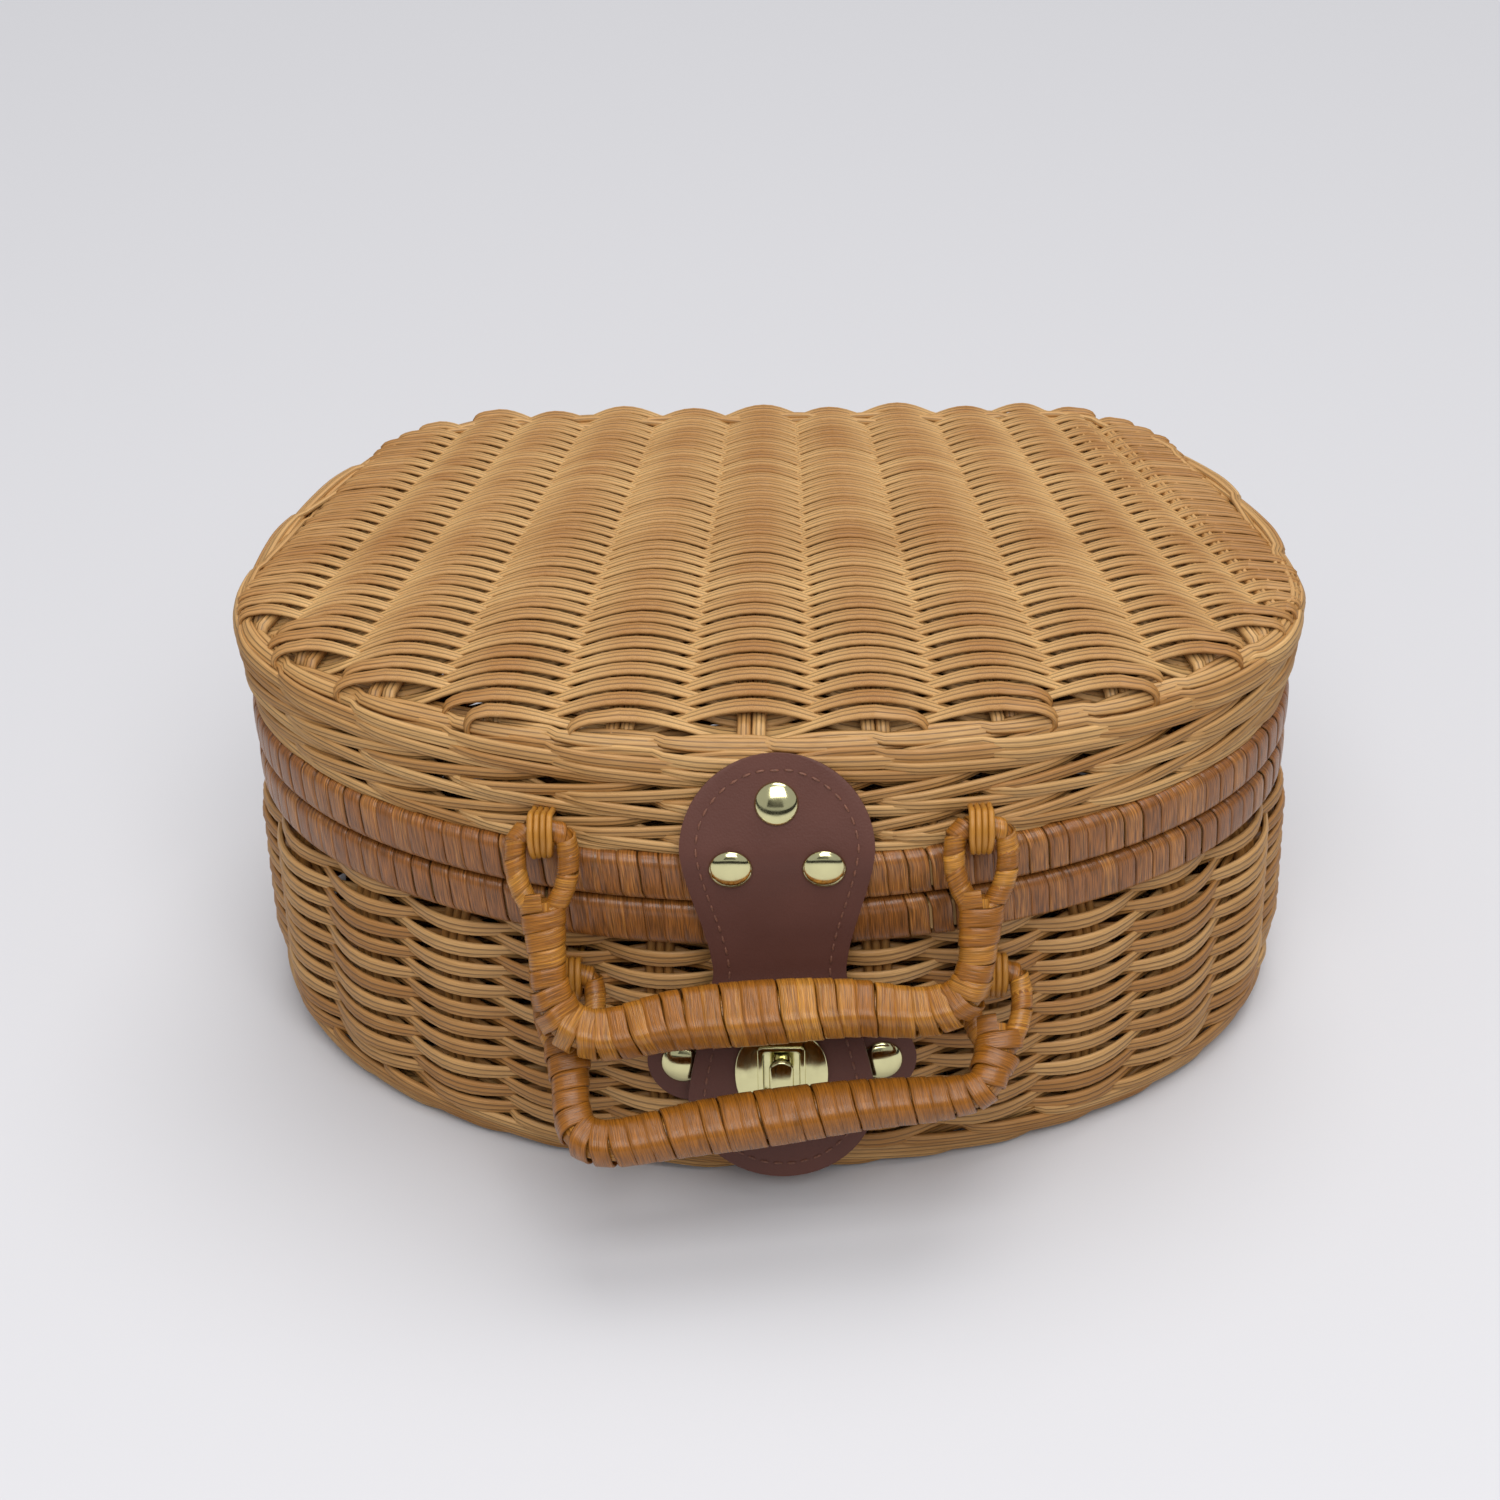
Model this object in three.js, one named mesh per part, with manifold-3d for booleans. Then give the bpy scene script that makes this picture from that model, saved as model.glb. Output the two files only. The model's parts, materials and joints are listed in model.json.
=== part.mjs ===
// Wicker suitcase basket with a hinged lid, two carry handles and a turn lock on a strap.
// Millimetres, +Z up, X to the right, front of the basket at -Y. The origin is on the
// ground under the middle of the basket.
import * as THREE from 'three';
import { mergeVertices } from 'three/addons/utils/BufferGeometryUtils.js';
import Module from 'manifold-3d';

const wasm = await Module();
wasm.setup();

// Driving dimensions

// Plan of the basket: a half ellipse in front, a flatter ellipse cut off straight at the back
const RIM_HALF_WIDTH = 156.5;
const RIM_FRONT = 92;
const BACK_CURVE_DEPTH = 139;
const BACK_Y = 104.5;
const BACK_CORNER_CUT = 18;

// Heights
const FOOT_HEIGHT = 9;
const SEAM_Z = 98;
const RIM_HEIGHT = 16;
const LID_WALL_HEIGHT = 21.5;
const LID_CROWN = 3.7;

// Base walls
const FOOT_HALF_WIDTH = 157.5;
const FOOT_FRONT = 102.5;
const BELLY_HALF_WIDTH = 159.5;
const BELLY_LOW_Z = 25;
const BELLY_HIGH_Z = 70;
const BELLY_LOW_FRONT = 102.3;
const BELLY_HIGH_FRONT = 92;
const NECK_INSET = 3.5;
const WALL = 8;
const FOOT_RING_WIDTH = 8;
const FLOOR_THICKNESS = 6;
const FLOOR_CLEARANCE = 3;

// Lid
const LID_WALL_INSET = 2.4;
const LID_FLARE = 4;
const LID_FRONT_LEAN = 15.7;
const LID_RING_WIDTH = 7.6;
const LID_RING_HEIGHT = 5.6;
const LID_PANEL_THICKNESS = 5;

// Ridges of weaving on the lid top, one over each pair of stakes. They fan out to the front
// from a point behind the basket; the crests are shares of the half width, taken at y = 0.
const RIDGE_HEIGHT = 3.6;
const RIDGE_SINK = 0.5;
const RIDGE_FAN_Y = 353;
const RIDGE_CRESTS = [-0.91, -0.768, -0.604, -0.414, -0.213, -0.018, 0.165, 0.36, 0.548, 0.713, 0.835, 0.92];
const RIDGE_STATIONS = 8;
const RIDGE_BLOCK_DEPTH = 80;

// Rims: two hoops clamp the stake ends, and a wound strip covers them
const RIM_THICKNESS = 13;
const RIM_STRIP = 1.2;
const RIM_ROUND = 3;
const HOOP_THICKNESS = 3.4;
const STAKE_TONGUE = 3;

// Running gap between pieces that touch
const GAP = 0.3;

// Leather strap
const STRAP_X = 3.5;
const LEATHER = 1.8;
const STRAP_LOBE_RADIUS = 27.2;
const STRAP_NECK_HALF_WIDTH = 18.8;
const STRAP_TOP_Z = 142.5;
const STRAP_BEND_Z = 117;
const STRAP_TIP_Z = 11;
const FLAP_BEND_Z = 88;
const PATCH_HALF_LENGTH = 39;
const PATCH_HALF_HEIGHT = 12.5;

// Rivets
const RIVET_HEAD_RADIUS = 6.2;
const RIVET_HEAD_HEIGHT = 2.3;
const RIVET_SHANK_RADIUS = 1.5;
const RIVET_BACK_RADIUS = 4.5;
const RIVET_BACK_HEIGHT = 1.2;
const RIVET_TAIL = 0.8;
const STRAP_RIVET_SPREAD = 13;
const STRAP_RIVET_LOW_Z = 114.3;
const STRAP_RIVET_HIGH_Z = 130.5;
const STRAP_RIVET_BITE = 6;
const PATCH_RIVET_SPREAD = 29;

// Turn lock
const LOCK_Z = 44.5;
const LOCK_PLATE_WIDTH = 27;
const LOCK_PLATE_HEIGHT = 27;
const LOCK_PLATE_CORNER = 7;
const LOCK_FACE_THICKNESS = 1.3;
const LOCK_BACKING_THICKNESS = 0.6;
const LOCK_BASE_THICKNESS = 1;
const LOCK_BASE_RADIUS = 11;
const SLOT_HALF_WIDTH = 5.15;
const SLOT_TOP = 7.7;
const SLOT_BOTTOM = 10.2;
const KNOB_WIDTH = 7.1;
const KNOB_LENGTH = 13;
const KNOB_HEAD = 3.2;
const KNOB_STEM_RADIUS = 2.6;
const KNOB_PIN_RADIUS = 1;
const LOCK_WASHER_RADIUS = 8;

// Handles
const EYE_SPREAD = 61;
const EYE_ROD = 3;
const EYE_HALF_WIDTH = 7.4;
const EYE_LENGTH = 24.5;
const EYE_LEG = 8;
const HANDLE_CORNER_X = 59.5;
const HANDLE_CORE_RADIUS = 2.6;
const HANDLE_BORE_SLACK = 0.7;
const HANDLE_ARM_RADIUS = 7;
const HANDLE_SHOULDER_RADIUS = 8;
const HANDLE_GRIP_RADIUS = 9;
const HANDLE_STEPS = 28;
const WRAP_SIDES = 10;
const ROD_SIDES = 8;
const UPPER_HANDLE = { x: -1, y: -87.5, z: 123.5, reach: 52.5, bow: 3, corner: 13, tilt: 28.6, lean: 3 };
const LOWER_HANDLE = { x: 4, y: -90, z: 72, reach: 42, bow: 1, corner: 9, tilt: 58, lean: 6.5 };

// Loops that tie the handles to the walls, and the bindings of the hinge
const LOOP_WIDTH = 6.6;
const LOOP_STRAND = 2;
const LOOP_GRIP_DEPTH = 1;
const LOOP_SLACK = 1.3;
const BINDING_X = 55;
const BINDING_WIDTH = 14;
const BINDING_STRAND = 1.2;
const BINDING_GROOVE_STRAND = 0.8;

// How many flats the plan has: front arc, each side, each back corner
const FRONT_STEPS = 20;
const SIDE_STEPS = 5;
const CORNER_STEPS = 3;

// Materials

function material(colour, roughness, metalness = 0) {
  return new THREE.MeshStandardMaterial({ color: colour, roughness, metalness });
}
const WEAVE = material(0xd0a168, 0.55);
const STRIP = material(0xb0743c, 0.35);
const HOOP = material(0x9a7a52, 0.7);
const TIE = material(0xbb8436, 0.4);
const BROWN_LEATHER = material(0x5b403c, 0.6);
const BRASS = material(0xdcd6a2, 0.2, 1);
const STEEL = material(0xb9b7ae, 0.35, 1);

// Solids from geometries

function solidFrom(geometry) {
  const bare = new THREE.BufferGeometry();
  bare.setAttribute('position', geometry.getAttribute('position'));
  if (geometry.index) bare.setIndex(geometry.index);
  const merged = mergeVertices(bare, 1e-4);
  const vertProperties = new Float32Array(merged.getAttribute('position').array);
  const triVerts = new Uint32Array(merged.index.array);
  return new wasm.Manifold(new wasm.Mesh({ numProp: 3, vertProperties, triVerts }));
}

function geometryFrom(solid) {
  const mesh = solid.getMesh();
  const geometry = new THREE.BufferGeometry();
  geometry.setAttribute('position', new THREE.BufferAttribute(new Float32Array(mesh.vertProperties), 3));
  geometry.setIndex(new THREE.BufferAttribute(new Uint32Array(mesh.triVerts), 1));
  geometry.computeVertexNormals();
  return geometry;
}

function cut(geometry, cutters) {
  let solid = solidFrom(geometry);
  for (const cutter of cutters) solid = solid.subtract(solidFrom(cutter));
  return geometryFrom(solid);
}

function join(geometries) {
  let solid = solidFrom(geometries[0]);
  for (const other of geometries.slice(1)) solid = solid.add(solidFrom(other));
  return geometryFrom(solid);
}

// A surface through a list of point loops; each loop is joined to the next one
function surfaceThroughLoops(loops, { closed = false, capped = false } = {}) {
  const count = loops[0].length;
  const positions = loops.flat().flatMap((point) => [point.x, point.y, point.z]);
  const indices = [];
  const bands = closed ? loops.length : loops.length - 1;
  for (let band = 0; band < bands; band += 1) {
    const here = band * count;
    const next = ((band + 1) % loops.length) * count;
    for (let step = 0; step < count; step += 1) {
      const after = (step + 1) % count;
      indices.push(here + step, here + after, next + after);
      indices.push(here + step, next + after, next + step);
    }
  }
  if (capped) {
    for (const [start, flipped] of [[0, true], [(loops.length - 1) * count, false]]) {
      const outline = loops[start / count];
      const middle = outline.reduce((sum, point) => sum.add(point), new THREE.Vector3());
      middle.divideScalar(count);
      const hub = positions.length / 3;
      positions.push(middle.x, middle.y, middle.z);
      for (let step = 0; step < count; step += 1) {
        const pair = [start + step, start + ((step + 1) % count)];
        if (flipped) pair.reverse();
        indices.push(pair[0], pair[1], hub);
      }
    }
  }
  const geometry = new THREE.BufferGeometry();
  geometry.setAttribute('position', new THREE.Float32BufferAttribute(positions, 3));
  geometry.setIndex(indices);
  return outwardFacing(geometry);
}

// Turns all faces over if they point inwards
function outwardFacing(geometry) {
  const position = geometry.getAttribute('position');
  const index = geometry.index.array;
  const [a, b, c] = [new THREE.Vector3(), new THREE.Vector3(), new THREE.Vector3()];
  let volume = 0;
  for (let i = 0; i < index.length; i += 3) {
    a.fromBufferAttribute(position, index[i]);
    b.fromBufferAttribute(position, index[i + 1]);
    c.fromBufferAttribute(position, index[i + 2]);
    volume += a.dot(b.cross(c));
  }
  if (volume < 0) {
    for (let i = 0; i < index.length; i += 3) {
      [index[i], index[i + 1]] = [index[i + 1], index[i]];
    }
  }
  geometry.computeVertexNormals();
  return geometry;
}

// Plan of the basket

// One loop of the plan at height z, drawn in by inset from a level's own outline
function planLoop({ halfWidth, front, back = BACK_Y }, inset, z) {
  const w = halfWidth - inset;
  const f = front - inset;
  const depth = BACK_CURVE_DEPTH - BACK_Y + back - inset;
  const yBack = back - inset;
  const cornerAngle = Math.asin((yBack - BACK_CORNER_CUT) / depth);
  const cornerX = w * Math.cos(cornerAngle);
  const squareX = w * Math.cos(Math.asin(yBack / depth));
  const curves = [
    [new THREE.EllipseCurve(0, 0, w, f, Math.PI, 2 * Math.PI), FRONT_STEPS],
    [new THREE.EllipseCurve(0, 0, w, depth, 0, cornerAngle), SIDE_STEPS],
    [backCorner(cornerX, squareX, yBack, 1), CORNER_STEPS],
    [new THREE.LineCurve(new THREE.Vector2(squareX - BACK_CORNER_CUT, yBack),
      new THREE.Vector2(BACK_CORNER_CUT - squareX, yBack)), 1],
    [backCorner(cornerX, squareX, yBack, -1), CORNER_STEPS],
    [new THREE.EllipseCurve(0, 0, w, depth, Math.PI - cornerAngle, Math.PI), SIDE_STEPS],
  ];
  return curves.flatMap(([curve, steps]) => curve.getPoints(steps).slice(0, steps)
    .map((point) => new THREE.Vector3(point.x, point.y, z)));
}

function backCorner(cornerX, squareX, yBack, side) {
  const onSide = new THREE.Vector2(side * cornerX, yBack - BACK_CORNER_CUT);
  const tip = new THREE.Vector2(side * squareX, yBack);
  const onBack = new THREE.Vector2(side * (squareX - BACK_CORNER_CUT), yBack);
  return side > 0
    ? new THREE.QuadraticBezierCurve(onSide, tip, onBack)
    : new THREE.QuadraticBezierCurve(onBack, tip, onSide);
}

// A ring round the plan; its cross-section is a list of [level, inset, z]
function planRing(section) {
  return surfaceThroughLoops(section.map(([level, inset, z]) => planLoop(level, inset, z)), { closed: true });
}

// A plate with the outline of the plan; rings is a list of [level, inset, z]
function planPlate(rings) {
  return surfaceThroughLoops(rings.map(([level, inset, z]) => planLoop(level, inset, z)), { capped: true });
}

const rimLevel = { halfWidth: RIM_HALF_WIDTH, front: RIM_FRONT };
const footLevel = { halfWidth: FOOT_HALF_WIDTH, front: FOOT_FRONT };
const lidTopLevel = { halfWidth: RIM_HALF_WIDTH + LID_FLARE, front: RIM_FRONT - LID_FRONT_LEAN };

// The sloping front of the base wall, measured to its outer face
const frontSlope = (BELLY_LOW_FRONT - BELLY_HIGH_FRONT) / (BELLY_HIGH_Z - BELLY_LOW_Z);
const frontLean = Math.atan(frontSlope);
function bellyFront(z) {
  return BELLY_LOW_FRONT - (z - BELLY_LOW_Z) * frontSlope;
}

const baseRimBottom = SEAM_Z - GAP / 2 - RIM_HEIGHT;
const baseRimTop = SEAM_Z - GAP / 2;
const lidRimBottom = SEAM_Z + GAP / 2;
const lidRimTop = lidRimBottom + RIM_HEIGHT;
const lidWallTop = lidRimTop + LID_WALL_HEIGHT;
const lidRingTop = lidWallTop + GAP + LID_RING_HEIGHT;
const tongueInset = (RIM_THICKNESS - STAKE_TONGUE) / 2;
const tongueEnd = RIM_STRIP + GAP;

// Rims

// Cross-section of the wound strip: a channel, open where the stakes enter it.
// mouth is the z of the open side and closed the z of the seam side.
function rimStripSection(mouth, closed) {
  const up = Math.sign(closed - mouth);
  const inner = RIM_THICKNESS - RIM_STRIP;
  const slotOuter = tongueInset - GAP;
  const slotInner = tongueInset + STAKE_TONGUE + GAP;
  return [
    [slotOuter, mouth],
    [RIM_ROUND, mouth],
    [0, mouth + up * RIM_ROUND],
    [0, closed - up * RIM_ROUND],
    [RIM_ROUND, closed],
    [RIM_THICKNESS - RIM_ROUND, closed],
    [RIM_THICKNESS, closed - up * RIM_ROUND],
    [RIM_THICKNESS, mouth + up * RIM_ROUND],
    [RIM_THICKNESS - RIM_ROUND, mouth],
    [slotInner, mouth],
    [slotInner, mouth + up * RIM_STRIP],
    [inner, mouth + up * RIM_ROUND],
    [inner, closed - up * RIM_ROUND],
    [RIM_THICKNESS - RIM_ROUND, closed - up * RIM_STRIP],
    [RIM_ROUND, closed - up * RIM_STRIP],
    [RIM_STRIP, closed - up * RIM_ROUND],
    [RIM_STRIP, mouth + up * RIM_ROUND],
    [slotOuter, mouth + up * RIM_STRIP],
  ].map(([inset, z]) => [rimLevel, inset, z]);
}

// A flat hoop inside the strip, on the outer or the inner side of the stakes
function hoopSection(inset, bottom) {
  const low = bottom + RIM_ROUND + GAP;
  const high = bottom + RIM_HEIGHT - RIM_ROUND - GAP;
  return [
    [rimLevel, inset, low],
    [rimLevel, inset + HOOP_THICKNESS, low],
    [rimLevel, inset + HOOP_THICKNESS, high],
    [rimLevel, inset, high],
  ];
}
const outerHoopInset = tongueInset - GAP - HOOP_THICKNESS;
const innerHoopInset = tongueInset + STAKE_TONGUE + GAP;

// Base

function baseFloor() {
  const inset = FOOT_RING_WIDTH + GAP;
  const top = FLOOR_CLEARANCE + FLOOR_THICKNESS;
  return planPlate([
    [footLevel, inset, FLOOR_CLEARANCE],
    [footLevel, inset, top],
  ]);
}

function footBorder() {
  const bevel = 2;
  return planRing([
    [footLevel, bevel, 0],
    [footLevel, 0, bevel],
    [footLevel, 0, FOOT_HEIGHT],
    [footLevel, FOOT_RING_WIDTH, FOOT_HEIGHT],
    [footLevel, FOOT_RING_WIDTH, bevel],
    [footLevel, FOOT_RING_WIDTH - bevel, 0],
  ]);
}

function baseWallBare() {
  const bellyLow = { halfWidth: BELLY_HALF_WIDTH, front: BELLY_LOW_FRONT };
  const bellyHigh = { halfWidth: BELLY_HALF_WIDTH - 1, front: BELLY_HIGH_FRONT };
  const neckZ = baseRimBottom - GAP;
  const bottom = FOOT_HEIGHT + GAP;
  return planRing([
    [footLevel, 0, bottom],
    [bellyLow, 0, BELLY_LOW_Z],
    [bellyHigh, 0, BELLY_HIGH_Z],
    [rimLevel, NECK_INSET, neckZ],
    [rimLevel, tongueInset, neckZ],
    [rimLevel, tongueInset, baseRimTop - tongueEnd],
    [rimLevel, tongueInset + STAKE_TONGUE, baseRimTop - tongueEnd],
    [rimLevel, tongueInset + STAKE_TONGUE, neckZ],
    [rimLevel, NECK_INSET + WALL, neckZ],
    [bellyHigh, WALL, BELLY_HIGH_Z],
    [bellyLow, WALL, BELLY_LOW_Z],
    [footLevel, WALL, bottom],
  ]);
}

// Lid

const lidWallLow = lidRimTop + GAP;
const lidMiddleLevel = {
  halfWidth: (rimLevel.halfWidth - LID_WALL_INSET + lidTopLevel.halfWidth) / 2,
  front: (rimLevel.front - LID_WALL_INSET + lidTopLevel.front) / 2,
};
function lidWallBare() {
  const neckZ = lidWallLow;
  const middleZ = (neckZ + lidWallTop) / 2;
  return planRing([
    [rimLevel, LID_WALL_INSET, neckZ],
    [lidMiddleLevel, 0, middleZ],
    [lidTopLevel, 0.5, lidWallTop],
    [lidTopLevel, 0.5 + WALL, lidWallTop],
    [lidMiddleLevel, WALL, middleZ],
    [rimLevel, LID_WALL_INSET + WALL, neckZ],
    [rimLevel, tongueInset + STAKE_TONGUE, neckZ],
    [rimLevel, tongueInset + STAKE_TONGUE, lidRimBottom + tongueEnd],
    [rimLevel, tongueInset, lidRimBottom + tongueEnd],
    [rimLevel, tongueInset, neckZ],
  ]);
}

function lidTopBorder() {
  const bevel = 2.2;
  const bottom = lidWallTop + GAP;
  return planRing([
    [lidTopLevel, 0, bottom],
    [lidTopLevel, 0, lidRingTop - bevel],
    [lidTopLevel, bevel, lidRingTop],
    [lidTopLevel, LID_RING_WIDTH - bevel, lidRingTop],
    [lidTopLevel, LID_RING_WIDTH, lidRingTop - bevel],
    [lidTopLevel, LID_RING_WIDTH, bottom],
  ]);
}

// How much the lid top is crowned, from nothing at its edge to the full rise in the middle
function lidCrown(x, y) {
  const { halfWidth, front } = lidTopLevel;
  const depth = y < 0 ? front : BACK_CURVE_DEPTH;
  const reach = Math.max(Math.hypot(x / halfWidth, y / depth), y / BACK_Y);
  return LID_CROWN * (1 - Math.min(1, reach) ** 2);
}

// Points across the ridges at y = 0: each crest, its two shoulders and the valley after it
function ridgeColumns() {
  const crests = RIDGE_CRESTS.map((share) => share * lidTopLevel.halfWidth);
  const columns = [];
  crests.forEach((crest, number) => {
    const next = crests[number + 1] ?? 2 * crest - crests[number - 1];
    const before = number ? crests[number - 1] : 2 * crest - next;
    if (!number) columns.push([crest - (crest - before) / 2, 0]);
    columns.push([crest - (crest - before) / 4, Math.SQRT1_2], [crest, 1]);
    columns.push([crest + (next - crest) / 4, Math.SQRT1_2], [crest + (next - crest) / 2, 0]);
  });
  const outside = lidTopLevel.halfWidth * 2;
  return [[-outside, 0], ...columns, [outside, 0]];
}

// The woven top: a crowned panel whose ridges run from the back to the front
function lidTop() {
  const edge = LID_RING_WIDTH + GAP;
  const bottom = lidRingTop - LID_PANEL_THICKNESS;
  const valley = lidRingTop - RIDGE_SINK;
  const columns = ridgeColumns();
  const loops = Array.from({ length: RIDGE_STATIONS }, (_, station) => {
    const y = BACK_Y - (station / (RIDGE_STATIONS - 1)) * (BACK_Y + lidTopLevel.front);
    const fan = (RIDGE_FAN_Y - y) / RIDGE_FAN_Y;
    const top = columns.map(([x, crest]) => (
      new THREE.Vector3(x * fan, y, valley + lidCrown(x * fan, y) + crest * RIDGE_HEIGHT)));
    const under = columns.toReversed().map(([x]) => new THREE.Vector3(x * fan, y, bottom - RIDGE_BLOCK_DEPTH));
    return [...top, ...under];
  });
  const block = surfaceThroughLoops(loops, { capped: true });
  const outline = planPlate([[lidTopLevel, edge, bottom], [lidTopLevel, edge, lidRingTop + RIDGE_BLOCK_DEPTH]]);
  return geometryFrom(solidFrom(block).intersect(solidFrom(outline)));
}

// Small turned and stamped parts. Their local frame has the outward normal along -Y.

function lathe(profile, segments) {
  const points = profile.map(([radius, height]) => new THREE.Vector2(radius, height));
  return closedLathe(new THREE.LatheGeometry(points, segments));
}

// A lathe's two meeting seams and its poles are welded into one closed skin
function closedLathe(geometry) {
  const bare = new THREE.BufferGeometry();
  bare.setAttribute('position', geometry.getAttribute('position'));
  bare.setIndex(geometry.index);
  const merged = mergeVertices(bare, 1e-4);
  const kept = [];
  const index = merged.index.array;
  for (let i = 0; i < index.length; i += 3) {
    const [a, b, c] = [index[i], index[i + 1], index[i + 2]];
    if (a !== b && b !== c && c !== a) kept.push(a, b, c);
  }
  merged.setIndex(kept);
  return outwardFacing(merged);
}

const ROUND_SEGMENTS = 12;

// A cylinder along Y from y = from to y = to
function barAlongY(radius, from, to, segments = ROUND_SEGMENTS) {
  const geometry = new THREE.CylinderGeometry(radius, radius, Math.abs(to - from), segments);
  geometry.translate(0, (from + to) / 2, 0);
  return geometry;
}

// A domed rivet: its head sits at y = 0 and its shank runs back to +y
function rivet(grip) {
  const dome = [];
  const domeSteps = 4;
  for (let step = 0; step <= domeSteps; step += 1) {
    const angle = (step / domeSteps) * (Math.PI / 2);
    dome.push([RIVET_HEAD_RADIUS * Math.cos(angle), -RIVET_HEAD_HEIGHT * Math.sin(angle)]);
  }
  dome[domeSteps][0] = 0;
  const shank = [[0, grip], [RIVET_SHANK_RADIUS, grip], [RIVET_SHANK_RADIUS, 0]];
  return lathe([...shank, ...dome], ROUND_SEGMENTS);
}

// The cap that the shank's end goes through, on the inside of the wall
function rivetBack() {
  const bore = RIVET_SHANK_RADIUS + GAP;
  return lathe([
    [bore, 0],
    [RIVET_BACK_RADIUS, 0],
    [RIVET_BACK_RADIUS - 1, RIVET_BACK_HEIGHT],
    [bore, RIVET_BACK_HEIGHT],
    [bore, 0],
  ], ROUND_SEGMENTS);
}

// Strap

// The strap's middle line in side view, from the top end to the flap's lower tip
const strapOffset = GAP + LEATHER / 2;
const hingeY = -(RIM_FRONT + strapOffset);
const lockStack = GAP + LEATHER + GAP + LOCK_BASE_THICKNESS + GAP + LOCK_BACKING_THICKNESS + GAP;
const flapDepthAtLock = lockStack + LEATHER / 2;
const flapLockY = -(bellyFront(LOCK_Z) + flapDepthAtLock / Math.cos(frontLean));
const flapTipY = flapLockY - (LOCK_Z - STRAP_TIP_Z) * frontSlope;
const strapTopY = -(lidTopLevel.front + strapOffset + GAP);
const upperLine = [new THREE.Vector2(strapTopY, STRAP_TOP_Z), new THREE.Vector2(hingeY, STRAP_BEND_Z),
  new THREE.Vector2(hingeY, SEAM_Z + GAP / 2)];
const flapLine = [new THREE.Vector2(hingeY, SEAM_Z - GAP / 2), new THREE.Vector2(hingeY, FLAP_BEND_Z),
  new THREE.Vector2(flapLockY, LOCK_Z), new THREE.Vector2(flapTipY, STRAP_TIP_Z)];

function lineLength(line) {
  let length = 0;
  for (let i = 1; i < line.length; i += 1) length += line[i].distanceTo(line[i - 1]);
  return length;
}

// The point on a bent line at a distance from its start, and the direction there
function alongLine(line, distance) {
  let left = distance;
  for (let i = 1; i < line.length; i += 1) {
    const length = line[i].distanceTo(line[i - 1]);
    if (left <= length + 1e-6 || i === line.length - 1) {
      const direction = line[i].clone().sub(line[i - 1]).normalize();
      return { point: line[i - 1].clone().addScaledVector(direction, left), direction };
    }
    left -= length;
  }
  return null;
}

// Half width at a distance from the nearer end: round at the end, narrow halfway down the strap
function strapHalfWidth(distance) {
  const radius = STRAP_LOBE_RADIUS;
  if (distance < radius) return Math.sqrt(Math.max(0, radius ** 2 - (radius - distance) ** 2));
  const half = (lineLength(upperLine) + lineLength(flapLine)) / 2;
  const near = Math.min(distance, 2 * half - distance);
  const share = (near - radius) / (half - radius);
  const ease = share * share * (3 - 2 * share);
  return radius + (STRAP_NECK_HALF_WIDTH - radius) * (share + ease) / 2;
}

// Where the strap's sections lie in its rounded ends, as shares of the end's radius
const LOBE_STEPS = [0.02, 0.08, 0.2, 0.4, 0.7, 1];
const STRAP_SECTIONS = 5;

// A strip of leather of varying width along a bent line
function leatherStrip(line, stations, halfWidthAt) {
  const loops = stations.map((distance) => {
    const { point, direction } = alongLine(line, distance);
    const normal = new THREE.Vector2(direction.y, -direction.x);
    const half = halfWidthAt(distance);
    return [[-1, -1], [1, -1], [1, 1], [-1, 1]].map(([side, face]) => {
      const edge = point.clone().addScaledVector(normal, face * (LEATHER / 2));
      return new THREE.Vector3(STRAP_X + side * half, edge.x, edge.y);
    });
  });
  return surfaceThroughLoops(loops, { capped: true });
}

function stripStations(line, fromEnd) {
  const length = lineLength(line);
  const lobe = LOBE_STEPS.map((share) => share * STRAP_LOBE_RADIUS);
  const rest = [];
  for (let step = 1; step <= STRAP_SECTIONS; step += 1) {
    rest.push(STRAP_LOBE_RADIUS + (step / STRAP_SECTIONS) * (length - STRAP_LOBE_RADIUS));
  }
  const stations = [...lobe, ...rest];
  return fromEnd ? stations.map((distance) => length - distance).reverse() : stations;
}

function upperStrapBare() {
  return leatherStrip(upperLine, stripStations(upperLine, false), strapHalfWidth);
}

function flapBare() {
  const length = lineLength(flapLine);
  return leatherStrip(flapLine, stripStations(flapLine, true), (d) => strapHalfWidth(length - d));
}

// Frame of a strap rivet: on the strap's middle line at height z, -Y pointing out of it
function strapRivetFrame(x, z) {
  const [top, bend] = upperLine;
  const share = Math.max(0, (top.y - z) / (top.y - bend.y));
  const distance = share <= 1 ? share * top.distanceTo(bend) : top.distanceTo(bend) + bend.y - z;
  const { point, direction } = alongLine(upperLine, distance);
  const group = new THREE.Group();
  group.position.set(x, point.x, point.y);
  group.rotation.x = -Math.atan2(-direction.x, -direction.y);
  group.updateMatrixWorld();
  return group;
}

// Frame of the lock: on the outer face of the base wall, -Y pointing out of it
const lockFrame = new THREE.Group();
lockFrame.position.set(STRAP_X, -bellyFront(LOCK_Z), LOCK_Z);
lockFrame.rotation.x = -frontLean;
lockFrame.updateMatrixWorld();

// How far the curved wall falls back from the lock's plane at a place beside it
function wallFallback(x) {
  const world = x + STRAP_X;
  const front = bellyFront(LOCK_Z);
  const halfWidth = BELLY_HALF_WIDTH;
  const at = (place) => front * Math.sqrt(1 - (place / halfWidth) ** 2);
  return front - at(world);
}

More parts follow.
